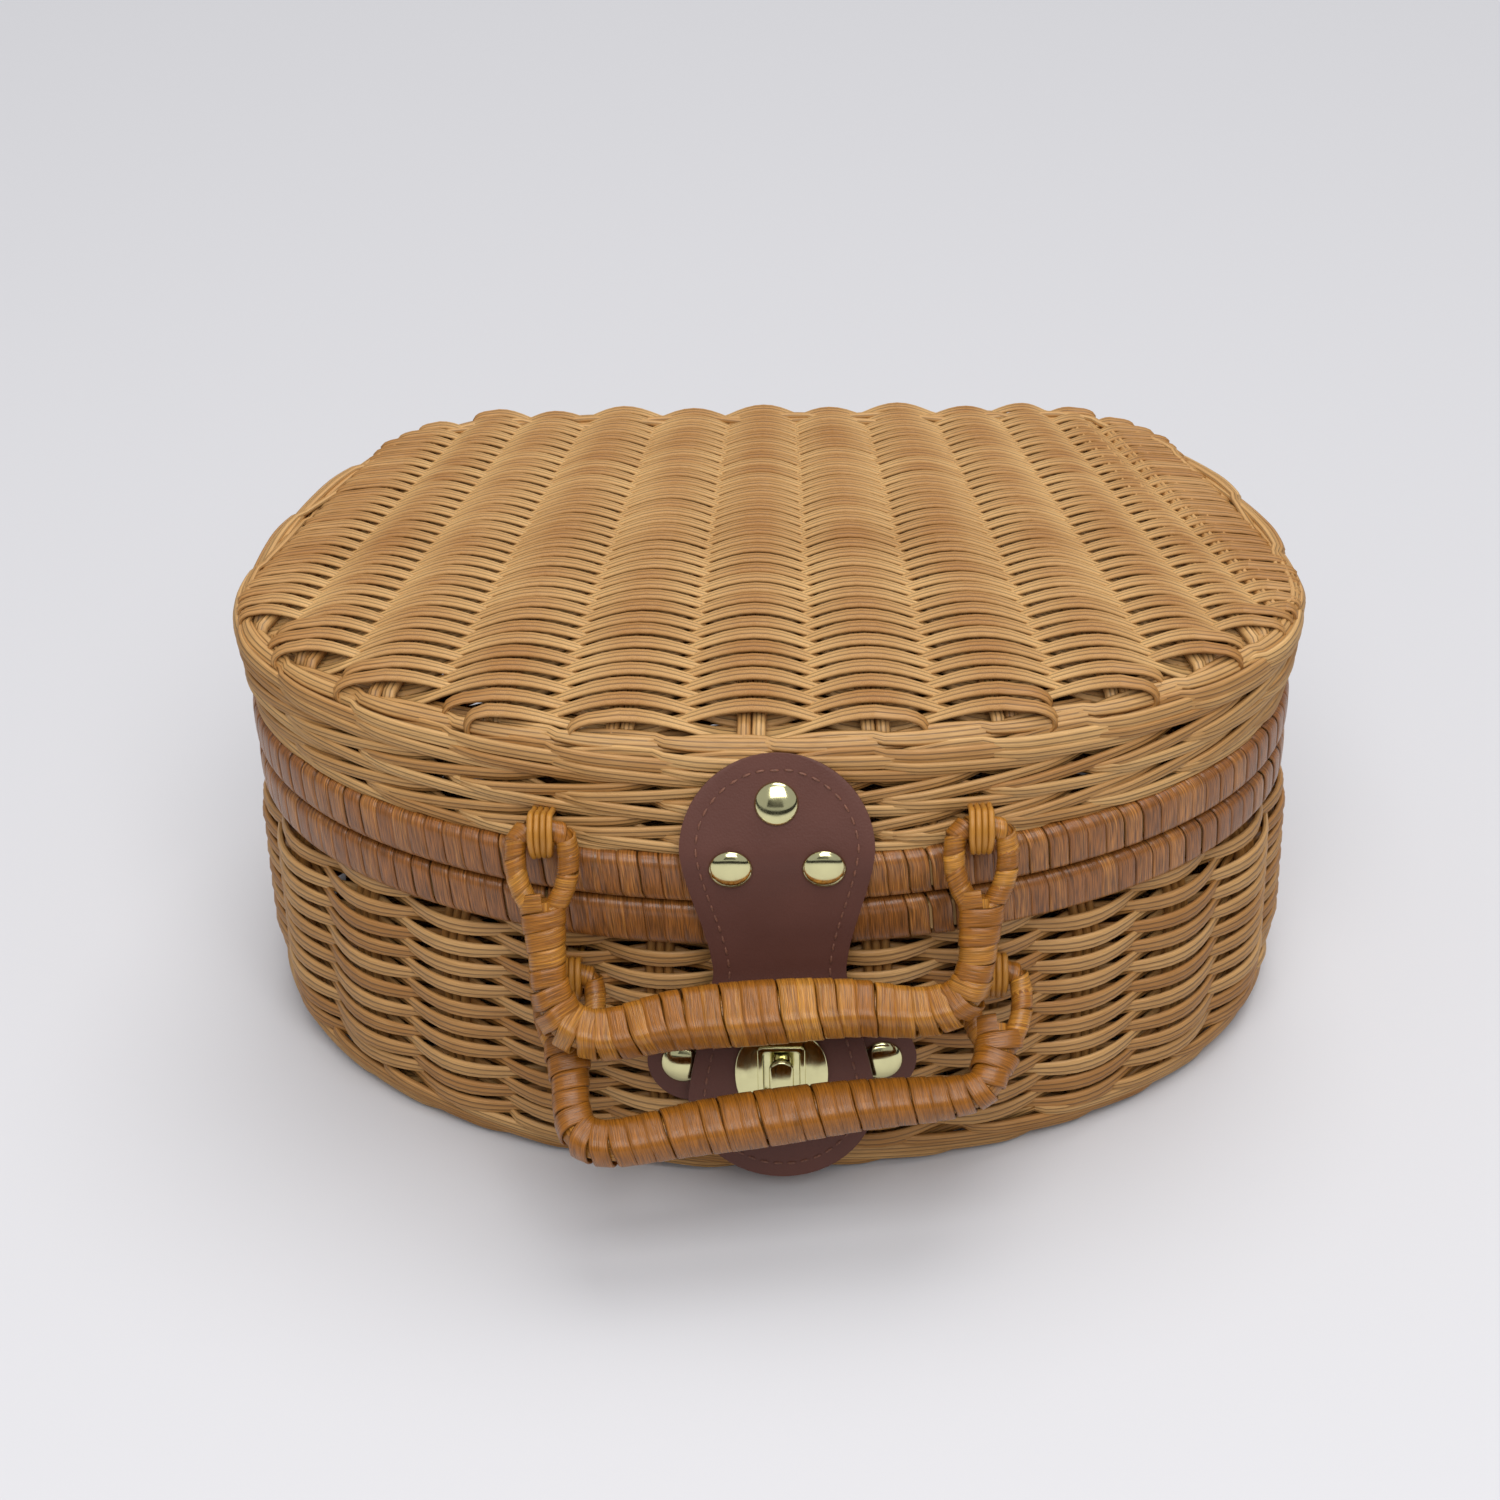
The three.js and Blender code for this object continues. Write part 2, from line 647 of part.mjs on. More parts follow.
// Leather patch that follows the wall behind the strap's end, in the lock frame
function leatherPatchBare() {
  const steps = 12;
  const loops = [];
  for (let step = 0; step <= steps; step += 1) {
    const x = PATCH_HALF_LENGTH * Math.sin((step / steps - 0.5) * Math.PI) * 0.999;
    const toEnd = PATCH_HALF_LENGTH - Math.abs(x);
    const round = PATCH_HALF_HEIGHT;
    const half = toEnd < round ? Math.sqrt(round ** 2 - (round - toEnd) ** 2) : round;
    const inner = wallFallback(x) - GAP;
    const outer = inner - LEATHER;
    loops.push([[inner, -half], [outer, -half], [outer, half], [inner, half]]
      .map(([y, z]) => new THREE.Vector3(x, y, z)));
  }
  return surfaceThroughLoops(loops, { capped: true });
}

// Lock

const lockBaseFront = -(GAP + LEATHER + GAP + LOCK_BASE_THICKNESS);
const backingFront = lockBaseFront - GAP - LOCK_BACKING_THICKNESS;
const flapFront = backingFront - GAP - LEATHER;
const faceFront = flapFront - GAP - LOCK_FACE_THICKNESS;
const knobBack = faceFront - GAP;

// A plate in the XZ plane with cut corners, from y = back to y = front
function stampedPlate(width, height, corner, back, front) {
  const shape = new THREE.Shape();
  const [w, h] = [width / 2, height / 2];
  shape.moveTo(-w + corner, -h);
  shape.lineTo(w - corner, -h);
  shape.quadraticCurveTo(w, -h + corner / 2, w, 0);
  shape.quadraticCurveTo(w, h - corner / 2, w - corner, h);
  shape.lineTo(-w + corner, h);
  shape.quadraticCurveTo(-w, h - corner / 2, -w, 0);
  shape.quadraticCurveTo(-w, -h + corner / 2, -w + corner, -h);
  const slab = new THREE.ExtrudeGeometry(shape, {
    depth: back - front,
    bevelEnabled: false,
    curveSegments: 3,
  });
  slab.rotateX(Math.PI / 2);
  slab.translate(0, back, 0);
  return slab;
}

function slotCutter(extra = 0) {
  const height = SLOT_TOP + SLOT_BOTTOM + 2 * extra;
  const through = LOCK_PLATE_WIDTH;
  const box = new THREE.BoxGeometry(2 * (SLOT_HALF_WIDTH + extra), through, height);
  box.translate(0, 0, (SLOT_TOP - SLOT_BOTTOM) / 2);
  return box;
}

function lockFacePlate() {
  const plate = stampedPlate(LOCK_PLATE_WIDTH, LOCK_PLATE_HEIGHT, LOCK_PLATE_CORNER,
    flapFront - GAP, faceFront);
  return cut(plate, [slotCutter()]);
}

function lockFaceBacking() {
  const inset = 2;
  const plate = stampedPlate(LOCK_PLATE_WIDTH - inset, LOCK_PLATE_HEIGHT - inset, LOCK_PLATE_CORNER,
    lockBaseFront - GAP, backingFront);
  return cut(plate, [slotCutter()]);
}

const lockWasherSeat = WALL + 2 * GAP;
const lockShankEnd = lockWasherSeat + RIVET_BACK_HEIGHT + RIVET_TAIL;

// The plate on the patch, with a hollow stud through the patch and the wall
function lockBasePlate() {
  const disc = barAlongY(LOCK_BASE_RADIUS, -(GAP + LEATHER + GAP), lockBaseFront);
  const stud = barAlongY(KNOB_STEM_RADIUS, -(GAP + LEATHER + GAP + 0.1), lockShankEnd);
  const bore = barAlongY(KNOB_PIN_RADIUS + GAP, lockBaseFront - 1, lockShankEnd + 1);
  return cut(join([disc, stud]), [bore]);
}

function lockWasher() {
  const ring = barAlongY(LOCK_WASHER_RADIUS, lockWasherSeat, lockWasherSeat + RIVET_BACK_HEIGHT);
  return cut(ring, [barAlongY(KNOB_STEM_RADIUS + GAP, 0, WALL + 10)]);
}

// The turn piece: a rounded bar on a stem, with a thin pin that runs down the stud's bore
function turnKnob() {
  const shape = new THREE.Shape();
  const straight = (KNOB_LENGTH - KNOB_WIDTH) / 2;
  shape.absarc(0, straight, KNOB_WIDTH / 2, 0, Math.PI);
  shape.absarc(0, -straight, KNOB_WIDTH / 2, Math.PI, 2 * Math.PI);
  shape.closePath();
  const head = new THREE.ExtrudeGeometry(shape, { depth: KNOB_HEAD, bevelEnabled: false, curveSegments: 6 });
  head.rotateX(Math.PI / 2);
  head.translate(0, knobBack, 0);
  const stem = barAlongY(KNOB_STEM_RADIUS, knobBack - 0.5, lockBaseFront - GAP);
  const pin = barAlongY(KNOB_PIN_RADIUS, lockBaseFront - 2 * GAP, lockShankEnd + 1);
  return join([head, stem, pin]);
}

// Handles. Local frame: the origin on the swing axis, the handle hanging down along -Z.

// A tube of changing radius along a flat curve, with a ring at each place on it;
// with a bore it is a sleeve, open at both ends
function taperedTube(curve, places, sides, radiusAt, bore = 0) {
  const ringAt = (place, radius) => {
    const centre = curve.getPointAt(place);
    const tangent = curve.getTangentAt(place);
    const normal = new THREE.Vector3(tangent.z, 0, -tangent.x);
    return Array.from({ length: sides }, (_, side) => {
      const angle = (side / sides) * 2 * Math.PI;
      return centre.clone()
        .addScaledVector(normal, Math.cos(angle) * radius)
        .add(new THREE.Vector3(0, Math.sin(angle) * radius, 0));
    });
  };
  const outer = places.map((place) => ringAt(place, radiusAt(place)));
  if (!bore) return surfaceThroughLoops(outer, { capped: true });
  const inner = places.toReversed().map((place) => ringAt(place, bore));
  return surfaceThroughLoops([...outer, ...inner], { closed: true });
}

// Middle line of a handle from one eye to the other, lower by lean on the left
function handleCurve({ reach, bow, corner, lean }) {
  const startDepth = EYE_LENGTH;
  const endDepth = reach + bow;
  const points = [];
  for (const side of [-1, 1]) {
    const drop = endDepth - side * lean;
    const half = [
      [side * EYE_SPREAD, -startDepth],
      [side * (EYE_SPREAD + HANDLE_CORNER_X) / 2, -(startDepth + drop - corner) / 2],
      [side * HANDLE_CORNER_X, -(drop - corner)],
      [side * (HANDLE_CORNER_X - corner * 0.29), -(drop - corner * 0.29)],
      [side * (HANDLE_CORNER_X - corner), -drop],
      [side * HANDLE_CORNER_X * 0.4, -(drop + reach) / 2 + bow * 0.35],
    ];
    points.push(side < 0 ? half : half.reverse());
  }
  const all = [...points[0], [0, -reach], ...points[1]];
  return new THREE.CatmullRomCurve3(all.map(([x, z]) => new THREE.Vector3(x, 0, z)), false, 'centripetal');
}

// The eye: a teardrop of rod whose top lies on the swing axis
function eyeRing(x) {
  const curve = new THREE.CatmullRomCurve3([
    [0, 0],
    [EYE_HALF_WIDTH * 0.75, -EYE_LENGTH * 0.1],
    [EYE_HALF_WIDTH, -EYE_LENGTH * 0.38],
    [EYE_HALF_WIDTH * 0.7, -EYE_LENGTH * 0.75],
    [0, -EYE_LENGTH],
    [-EYE_HALF_WIDTH * 0.7, -EYE_LENGTH * 0.75],
    [-EYE_HALF_WIDTH, -EYE_LENGTH * 0.38],
    [-EYE_HALF_WIDTH * 0.75, -EYE_LENGTH * 0.1],
  ].map(([dx, z]) => new THREE.Vector3(x + dx, 0, z)), true, 'centripetal');
  const steps = 20;
  const loops = [];
  for (let step = 0; step < steps; step += 1) {
    const centre = curve.getPointAt(step / steps);
    const tangent = curve.getTangentAt(step / steps);
    const outward = new THREE.Vector3(tangent.z, 0, -tangent.x);
    loops.push(Array.from({ length: ROD_SIDES }, (_, side) => {
      const angle = (side / ROD_SIDES) * 2 * Math.PI;
      return centre.clone()
        .addScaledVector(outward, EYE_ROD * Math.cos(angle))
        .add(new THREE.Vector3(0, EYE_ROD * Math.sin(angle), 0));
    }));
  }
  return surfaceThroughLoops(loops, { closed: true });
}


// Evenly spaced places along the curve, from a length after one end to as much before the other
function placesAlong(curve, skipped) {
  const start = skipped / curve.getLength();
  const stride = (1 - 2 * start) / HANDLE_STEPS;
  return Array.from({ length: HANDLE_STEPS + 1 }, (_, step) => start + step * stride);
}

const WRAP_SKIP = EYE_ROD + 2 * GAP;

// The bent rod inside the wound strip
function handleCore(handle) {
  const curve = handleCurve(handle);
  const places = placesAlong(curve, WRAP_SKIP).filter((place) => {
    const fromEnd = Math.min(place, 1 - place) * curve.getLength();
    return fromEnd > EYE_LEG + GAP;
  });
  return taperedTube(curve, places, ROD_SIDES, () => HANDLE_CORE_RADIUS);
}

// An eye with the leg that reaches into the wound strip
function handleEye(handle, side) {
  const curve = handleCurve(handle);
  const end = EYE_LEG / curve.getLength();
  const steps = 4;
  const places = Array.from({ length: steps + 1 }, (_, step) => (
    side < 0 ? end * (step / steps) : 1 - end * (1 - step / steps)));
  const leg = taperedTube(curve, places, ROD_SIDES, () => HANDLE_CORE_RADIUS);
  return join([leg, eyeRing(side * EYE_SPREAD)]);
}

// The wound strip round the arms and the grip, thick in the middle
function handleWrap(handle) {
  const radiusAt = (share) => {
    const middle = Math.max(0, 1 - Math.abs(share - 0.5) / 0.3);
    const swell = middle * middle * (3 - 2 * middle);
    const shoulder = Math.max(0, 1 - Math.min(share, 1 - share) / 0.12);
    return HANDLE_ARM_RADIUS + (HANDLE_GRIP_RADIUS - HANDLE_ARM_RADIUS) * swell
      + (HANDLE_SHOULDER_RADIUS - HANDLE_ARM_RADIUS) * shoulder;
  };
  const curve = handleCurve(handle);
  const bore = HANDLE_CORE_RADIUS + HANDLE_BORE_SLACK;
  return taperedTube(curve, placesAlong(curve, WRAP_SKIP), WRAP_SIDES, radiusAt, bore);
}

// Loops that tie an eye to the wall, in the frame of the handle's swing axis

// A flat ring in side view: it goes round the eye's rod and round strands of the wall
function tieLoop(depth, thickness, width) {
  const inner = EYE_ROD + LOOP_SLACK;
  const outer = inner + thickness;
  const shape = new THREE.Shape();
  shape.absarc(0, 0, outer, Math.PI / 2, 1.5 * Math.PI);
  shape.lineTo(depth + thickness, -outer);
  shape.lineTo(depth + thickness, outer);
  shape.closePath();
  const hole = new THREE.Path();
  hole.absarc(0, 0, inner, Math.PI / 2, 1.5 * Math.PI);
  hole.lineTo(depth, -inner);
  hole.lineTo(depth, inner);
  hole.closePath();
  shape.holes.push(hole);
  const ring = new THREE.ExtrudeGeometry(shape, { depth: width, bevelEnabled: false, curveSegments: 6 });
  ring.translate(0, 0, -width / 2);
  ring.applyMatrix4(new THREE.Matrix4().makeBasis(
    new THREE.Vector3(0, 1, 0), new THREE.Vector3(0, 0, 1), new THREE.Vector3(1, 0, 0)));
  return ring;
}

// Each tie reaches from the swing axis through the wall
function tieDepth(handle, level, inset) {
  const front = (level.front - inset) * Math.sqrt(1 - (EYE_SPREAD / (level.halfWidth - inset)) ** 2);
  return -handle.y - front + LOOP_GRIP_DEPTH;
}

function tiePlaces(handle) {
  return [-1, 1].map((side) => new THREE.Vector3(handle.x + side * EYE_SPREAD, handle.y, handle.z));
}

// What a tie needs cut away in the wall: its own shape with a gap all round
function tieCutter(place, depth) {
  const outer = EYE_ROD + LOOP_SLACK + LOOP_STRAND + GAP;
  const inner = EYE_ROD + LOOP_SLACK - GAP;
  const cutters = [];
  const width = LOOP_WIDTH + 2 * GAP;
  const far = depth + LOOP_STRAND + GAP;
  for (const side of [-1, 1]) {
    const slab = new THREE.BoxGeometry(width, far + EYE_ROD, outer - inner);
    slab.translate(place.x, place.y + (far - EYE_ROD) / 2, place.z + side * (inner + outer) / 2);
    cutters.push(slab);
  }
  const back = new THREE.BoxGeometry(width, LOOP_STRAND + 2 * GAP, 2 * outer);
  back.translate(place.x, place.y + depth + LOOP_STRAND / 2, place.z);
  cutters.push(back);
  return cutters;
}

// Hinge bindings: a flat strip wound round each rim at the back, crossing behind the seam

// The ring round one rim, in side view; seam is the z of the seam face, far the other one
function bindingRing(seam, far, thicken = 0) {
  const away = Math.sign(far - seam);
  const yOuter = BACK_Y + GAP;
  const yInner = BACK_Y - RIM_THICKNESS - GAP;
  const strand = BINDING_STRAND;
  const grooveFloor = seam + away * (BINDING_GROOVE_STRAND + GAP / 2);
  const farFace = far + away * GAP;
  const box = (y0, y1, z0, z1, width) => {
    const geometry = new THREE.BoxGeometry(width, Math.abs(y1 - y0), Math.abs(z1 - z0));
    geometry.translate(0, (y0 + y1) / 2, (z0 + z1) / 2);
    return geometry;
  };
  const grown = BINDING_WIDTH + 2 * thicken;
  const outside = box(yInner - strand - thicken, yOuter + strand + thicken,
    seam + away * (GAP / 2 - thicken), farFace + away * (strand + thicken), grown);
  const inside = box(yInner + thicken, yOuter - thicken, grooveFloor + away * thicken,
    farFace - away * thicken, grown + 2);
  return { outside, inside };
}

function hingeBinding(seam, far) {
  const { outside, inside } = bindingRing(seam, far);
  return cut(outside, [inside]);
}

function bindingCutter(seam, far, x) {
  const { outside, inside } = bindingRing(seam, far, GAP);
  const ring = cut(outside, [inside]);
  ring.translate(x, 0, 0);
  return ring;
}

// Assembly

function part(name, geometry, look) {
  const mesh = new THREE.Mesh(geometry, look);
  mesh.name = name;
  return mesh;
}

function inFrame(frame, ...meshes) {
  const group = new THREE.Group();
  group.position.copy(frame.position);
  group.rotation.copy(frame.rotation);
  group.add(...meshes);
  return group;
}

function worldCutter(frame, geometry) {
  return geometry.clone().applyMatrix4(frame.matrixWorld);
}

const basket = new THREE.Group();
const sides = [['left', -1], ['right', 1]];

// Ties of the two handles
const baseMiddleLevel = { halfWidth: BELLY_HALF_WIDTH - 1, front: BELLY_HIGH_FRONT };
const ties = [
  { name: 'upper', handle: UPPER_HANDLE, depth: tieDepth(UPPER_HANDLE, lidMiddleLevel, WALL) },
  { name: 'lower', handle: LOWER_HANDLE, depth: tieDepth(LOWER_HANDLE, baseMiddleLevel, WALL) },
];
for (const { name, handle, depth } of ties) {
  tiePlaces(handle).forEach((place, index) => {
    const tie = part(`${name}_handle_tie_${sides[index][0]}`, tieLoop(depth, LOOP_STRAND, LOOP_WIDTH), TIE);
    tie.position.copy(place);
    basket.add(tie);
  });
}
const tieCutters = ties.map(({ handle, depth }) => (
  tiePlaces(handle).flatMap((place) => tieCutter(place, depth))));

// Rivets of the strap, from the strap's face through the lid wall
const rivetHeadSeat = -(LEATHER / 2 + GAP);
const strapRivetGrip = 2 * GAP + LEATHER + STRAP_RIVET_BITE;
const strapRivets = [
  ['top', STRAP_X, STRAP_RIVET_HIGH_Z],
  ['left', STRAP_X - STRAP_RIVET_SPREAD, STRAP_RIVET_LOW_Z],
  ['right', STRAP_X + STRAP_RIVET_SPREAD, STRAP_RIVET_LOW_Z],
].map(([name, x, z]) => ({ name, frame: strapRivetFrame(x, z) }));
const rivetHoleEnd = rivetHeadSeat + strapRivetGrip + GAP;
const rivetHoles = strapRivets.map(({ frame }) => (
  worldCutter(frame, barAlongY(RIVET_SHANK_RADIUS + GAP, rivetHeadSeat - 1, rivetHoleEnd))));
for (const { name, frame } of strapRivets) {
  const head = part(`strap_rivet_${name}`, rivet(strapRivetGrip), BRASS);
  head.position.y = rivetHeadSeat;
  basket.add(inFrame(frame, head));
}

// Rivets of the patch, in the lock frame
const rivetBackSeat = LEATHER + 2 * GAP + WALL + 2 * GAP;
const patchRivetGrip = rivetBackSeat + RIVET_BACK_HEIGHT + RIVET_TAIL;
const patchRivets = sides.map(([name, side]) => {
  const frame = new THREE.Group();
  const x = side * PATCH_RIVET_SPREAD;
  const slope = (wallFallback(x + 1) - wallFallback(x - 1)) / 2;
  frame.position.set(x, wallFallback(x) - (LEATHER + 2 * GAP) / Math.cos(Math.atan(slope)), 0);
  frame.rotation.z = Math.atan(slope);
  frame.updateMatrix();
  return { name, frame };
});
const patchRivetHole = ({ frame }) => (
  barAlongY(RIVET_SHANK_RADIUS + GAP, -1, patchRivetGrip + 2).applyMatrix4(frame.matrix));
const lockParts = [];
for (const { name, frame } of patchRivets) {
  const head = part(`patch_rivet_${name}`, rivet(patchRivetGrip), BRASS);
  const back = part(`patch_rivet_back_${name}`, rivetBack(), STEEL);
  back.position.y = rivetBackSeat;
  lockParts.push(inFrame(frame, head, back));
}
const studHole = barAlongY(KNOB_STEM_RADIUS + GAP, faceFront, lockShankEnd + WALL);
const leatherPatch = cut(leatherPatchBare(), [studHole, ...patchRivets.map(patchRivetHole)]);
lockParts.push(
  part('leather_patch', leatherPatch, BROWN_LEATHER),
  part('lock_base_plate', lockBasePlate(), STEEL),
  part('lock_washer', lockWasher(), STEEL),
  part('lock_face_plate', lockFacePlate(), BRASS),
  part('lock_face_backing', lockFaceBacking(), STEEL),
  part('turn_knob', turnKnob(), BRASS),
);
basket.add(inFrame(lockFrame, ...lockParts));

// Leather strap in two lengths, one held by the lid and one free to swing
basket.add(
  part('strap', cut(upperStrapBare(), rivetHoles), BROWN_LEATHER),
  part('strap_flap', cut(flapBare(), [worldCutter(lockFrame, slotCutter(GAP))]), BROWN_LEATHER),
);

// Rims, walls, floor and lid
const bindingRims = [
  ['base', baseRimTop, baseRimBottom],
  ['lid', lidRimBottom, lidRimTop],
];
const bindingCutters = bindingRims.map(([, seam, far]) => sides.map(([, side]) => (
  bindingCutter(seam, far, side * BINDING_X))));
const wallHoles = patchRivets.map((place) => worldCutter(lockFrame, patchRivetHole(place)));
const rimHoles = { base: [], lid: rivetHoles };
basket.add(
  part('base_floor', baseFloor(), WEAVE),
  part('foot_border', footBorder(), WEAVE),
  part('base_wall', cut(baseWallBare(), [
    ...tieCutters[1], ...bindingCutters[0], ...wallHoles, worldCutter(lockFrame, studHole)]), WEAVE),
  part('lid_wall', cut(lidWallBare(), [...tieCutters[0], ...bindingCutters[1], ...rivetHoles]), WEAVE),
  part('lid_top_border', lidTopBorder(), WEAVE),
  part('lid_top', lidTop(), WEAVE),
);
for (const [index, [name, seam, far]] of bindingRims.entries()) {
  const low = Math.min(seam, far);
  basket.add(
    part(`${name}_rim_outer_hoop`, cut(planRing(hoopSection(outerHoopInset, low)), rimHoles[name]), HOOP),
    part(`${name}_rim_inner_hoop`, planRing(hoopSection(innerHoopInset, low)), HOOP),
    part(`${name}_rim_strip`, cut(planRing(rimStripSection(far, seam)), [
      ...bindingCutters[index], ...rimHoles[name]]), STRIP),
  );
  for (const [sideName, side] of sides) {
    const binding = part(`hinge_binding_${name}_${sideName}`, hingeBinding(seam, far), STRIP);
    binding.position.x = side * BINDING_X;
    basket.add(binding);
  }
}

// Handles, each in its own frame at rest
for (const [name, handle] of [['upper', UPPER_HANDLE], ['lower', LOWER_HANDLE]]) {
  const frame = new THREE.Group();
  frame.position.set(handle.x, handle.y, handle.z);
  frame.rotation.x = -THREE.MathUtils.degToRad(handle.tilt);
  frame.add(
    part(`${name}_handle_core`, handleCore(handle), HOOP),
    part(`${name}_handle_wrap`, handleWrap(handle), STRIP),
    ...sides.map(([sideName, side]) => (
      part(`${name}_handle_eye_${sideName}`, handleEye(handle, side), STRIP))),
  );
  basket.add(frame);
}

// The origin goes to the middle of the basket's box, on the ground
const box = new THREE.Box3().setFromObject(basket, true);
const middle = box.getCenter(new THREE.Vector3());
basket.position.set(-middle.x, -middle.y, -box.min.z);

export default basket;
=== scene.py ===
"""A suitcase basket: woven split willow, wound rims and handles, a leather strap and a turn lock."""

import json
import math

import bmesh
import bpy
import numpy as np
from bpy.props import FloatProperty, FloatVectorProperty, IntProperty, PointerProperty
from mathutils import Matrix, Vector


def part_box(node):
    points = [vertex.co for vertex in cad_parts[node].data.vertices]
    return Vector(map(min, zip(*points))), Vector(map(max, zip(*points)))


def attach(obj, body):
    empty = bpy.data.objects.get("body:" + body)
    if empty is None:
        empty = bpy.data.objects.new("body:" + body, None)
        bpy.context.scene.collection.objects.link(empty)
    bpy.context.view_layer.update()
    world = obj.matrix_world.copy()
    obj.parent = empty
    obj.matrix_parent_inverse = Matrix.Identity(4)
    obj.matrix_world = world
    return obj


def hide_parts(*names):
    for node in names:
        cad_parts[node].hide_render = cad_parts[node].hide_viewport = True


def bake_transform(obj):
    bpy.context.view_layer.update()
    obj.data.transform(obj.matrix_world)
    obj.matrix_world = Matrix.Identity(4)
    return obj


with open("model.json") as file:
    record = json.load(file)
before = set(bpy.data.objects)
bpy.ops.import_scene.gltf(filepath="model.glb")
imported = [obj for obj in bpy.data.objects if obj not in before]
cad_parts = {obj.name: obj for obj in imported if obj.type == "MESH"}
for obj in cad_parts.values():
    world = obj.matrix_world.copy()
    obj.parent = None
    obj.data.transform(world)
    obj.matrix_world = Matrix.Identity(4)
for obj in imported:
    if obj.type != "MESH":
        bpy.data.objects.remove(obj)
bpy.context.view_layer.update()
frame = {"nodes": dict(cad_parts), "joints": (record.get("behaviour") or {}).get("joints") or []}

bl_info = {
    "name": "Woven Suitcase Basket",
    "version": (1, 0, 0),
    "blender": (4, 5, 0),
    "location": "3D View > Sidebar > Basket",
    "description": "Builds the woven, wound, leather and brass pieces of a suitcase basket",
    "category": "Add Mesh",
}

MM = 0.001

# Plan and levels of the basket, in millimetres. The plan's y runs from the front to the back
# wall, and the frame's own y is PLAN_SHIFT more.
JOINTS = {joint["name"]: joint for joint in frame["joints"]}
PLAN_SHIFT = JOINTS["lid"]["pos_m"][1] / MM - 106.1
BACK_Y = 104.5
BACK_DEPTH = 139
BACK_CORNER = 18
# Half width and front of a level's outer face
RIM_PLAN = (156.5, 92)
FOOT_PLAN = (157.5, 102.5)
LID_TOP_PLAN = (160.5, 76.3)
LOCK_WALL_HALF_WIDTH = 159.1
RIM_INSIDE = 6.5
RIM_HALF_HEIGHT = 7.75
BASE_RIM_Z = 89.85
LID_RIM_Z = 106.15
SEAM_Z = 98
CROWN = 3.7
LID_MIDDLE_Z = 139.6
STAKE_FAN_Y = 353
LID_STAKES = (-149, -126, -99, -68, -35, -3, 27, 59, 90, 117, 137, 151)
FLOOR_STAKES = np.linspace(-140, 140, 11)
HINGE_X = 55
BINDING_STRIP, BINDING_HALF_DEPTH, BINDING_HALF_HEIGHT = 3.5, 7.3, 8.5
CROSSING_LOW, CROSSING_HEIGHT = 82.5, 31
STRAP_X = 3.5
STRAP_Y = -93.2
STRAP_LINE = ((-77.8, 142.5), (STRAP_Y, 117), (STRAP_Y, 98), (STRAP_Y, 88), (-103.48, 44.5), (-111.15, 11))
STRAP_LOBE = 27.2
STRAP_NECK = 18.8
LOCK_Y = -97.84
LOCK_Z = 44.5
LOCK_LEAN = math.radians(12.89)
PATCH_HALF_LENGTH = 39
PATCH_HALF_HEIGHT = 12.5
STRAP_RIVETS = ((0, 130.5), (-13, 114.3), (13, 114.3))
PATCH_RIVET_X = 29
RIVET_RADIUS = 6.2
RIVET_HEIGHT = 2.5
# The slot of the lock from its low end to its high end, and the wider hole in the leather behind it
SLOT_HALF_WIDTH, SLOT_LOW, SLOT_HIGH = 5.15, -10.2, 7.7
HOLE_HALF_WIDTH, HOLE_LOW, HOLE_HIGH = 5.6, -10.6, 8.1
PLATE_HALF_SIZE = 13.5
KNOB_HALF_WIDTH, KNOB_HALF_HEIGHT, STEM_RADIUS = 3.55, 6.5, 2.6
# From where to where each stands in front of the wall's face
PLATE_DEPTH, SLOT_FRAME_DEPTH, KNOB_DEPTH, STEM_DEPTH = (6.7, 8.0), (7.5, 8.6), (9.1, 11.6), (3.7, 9.6)
EYE_SPREAD = 61
EYE_LENGTH = 24.5
EYE_HALF_WIDTH = 7.4
HANDLE_CORNER_X = 59.5
TIE_RADIUS = 5.4
HANDLES = {
    "upper": dict(x=-1, y=-87.5, z=123.5, reach=52.5, bow=3, corner=13, tilt=28.6, lean=3, roll=43, swell=2.5,
                  square=1.7, overlap=5.5, shoulder=1.5, wall="lid"),
    "lower": dict(x=4, y=-90, z=72, reach=42, bow=1, corner=9, tilt=58, lean=6.5, roll=14, swell=1.6,
                  square=0.7, overlap=9, shoulder=2.4, wall="base"),
}


def linear(code):
    """A colour written as sRGB hex, in the linear values that shaders take."""
    channels = [int(code[place:place + 2], 16) / 255 for place in (1, 3, 5)]
    return [c / 12.92 if c <= 0.04045 else ((c + 0.055) / 1.055) ** 2.4 for c in channels]


def colour(label, description, code):
    """A colour that a user can change."""
    return FloatVectorProperty(name=label, description=description, subtype="COLOR", size=3,
                               min=0, max=1, default=linear(code))


def length(label, description, millimetres):
    """A length that a user can change."""
    return FloatProperty(name=label, description=description, unit="LENGTH", default=millimetres * MM)


def whole_number(label, description, default, least):
    """A number of rows or stakes that a user can change."""
    return IntProperty(name=label, description=description, default=default, min=least)


class BasketWeave(bpy.types.PropertyGroup):
    lid_rows: whole_number("Lid Rows", "Weavers laid across the lid top", 66, 10)
    lid_weaver: length("Lid Weaver", "Width of a ribbed weaver on the lid top", 4.7)
    lid_swing: length("Lid Swing", "How far a lid weaver rises over a stake", 4.0)
    wall_stakes: whole_number("Wall Stakes", "Stakes round the base wall, an even number", 26, 8)
    wall_row: length("Wall Row", "Height from one row of the base wall to the next", 3.45)
    wall_weaver: length("Wall Weaver", "Height of a weaver of the base wall", 6.3)
    wale_stakes: whole_number("Lid Wall Stakes", "Stakes round the lid wall, a multiple of three", 27, 9)
    foot_stakes: whole_number("Foot Stakes", "Stakes round the foot, a multiple of four", 36, 8)
    seed: IntProperty(name="Seed", description="Seed of the small differences between strands", default=7)


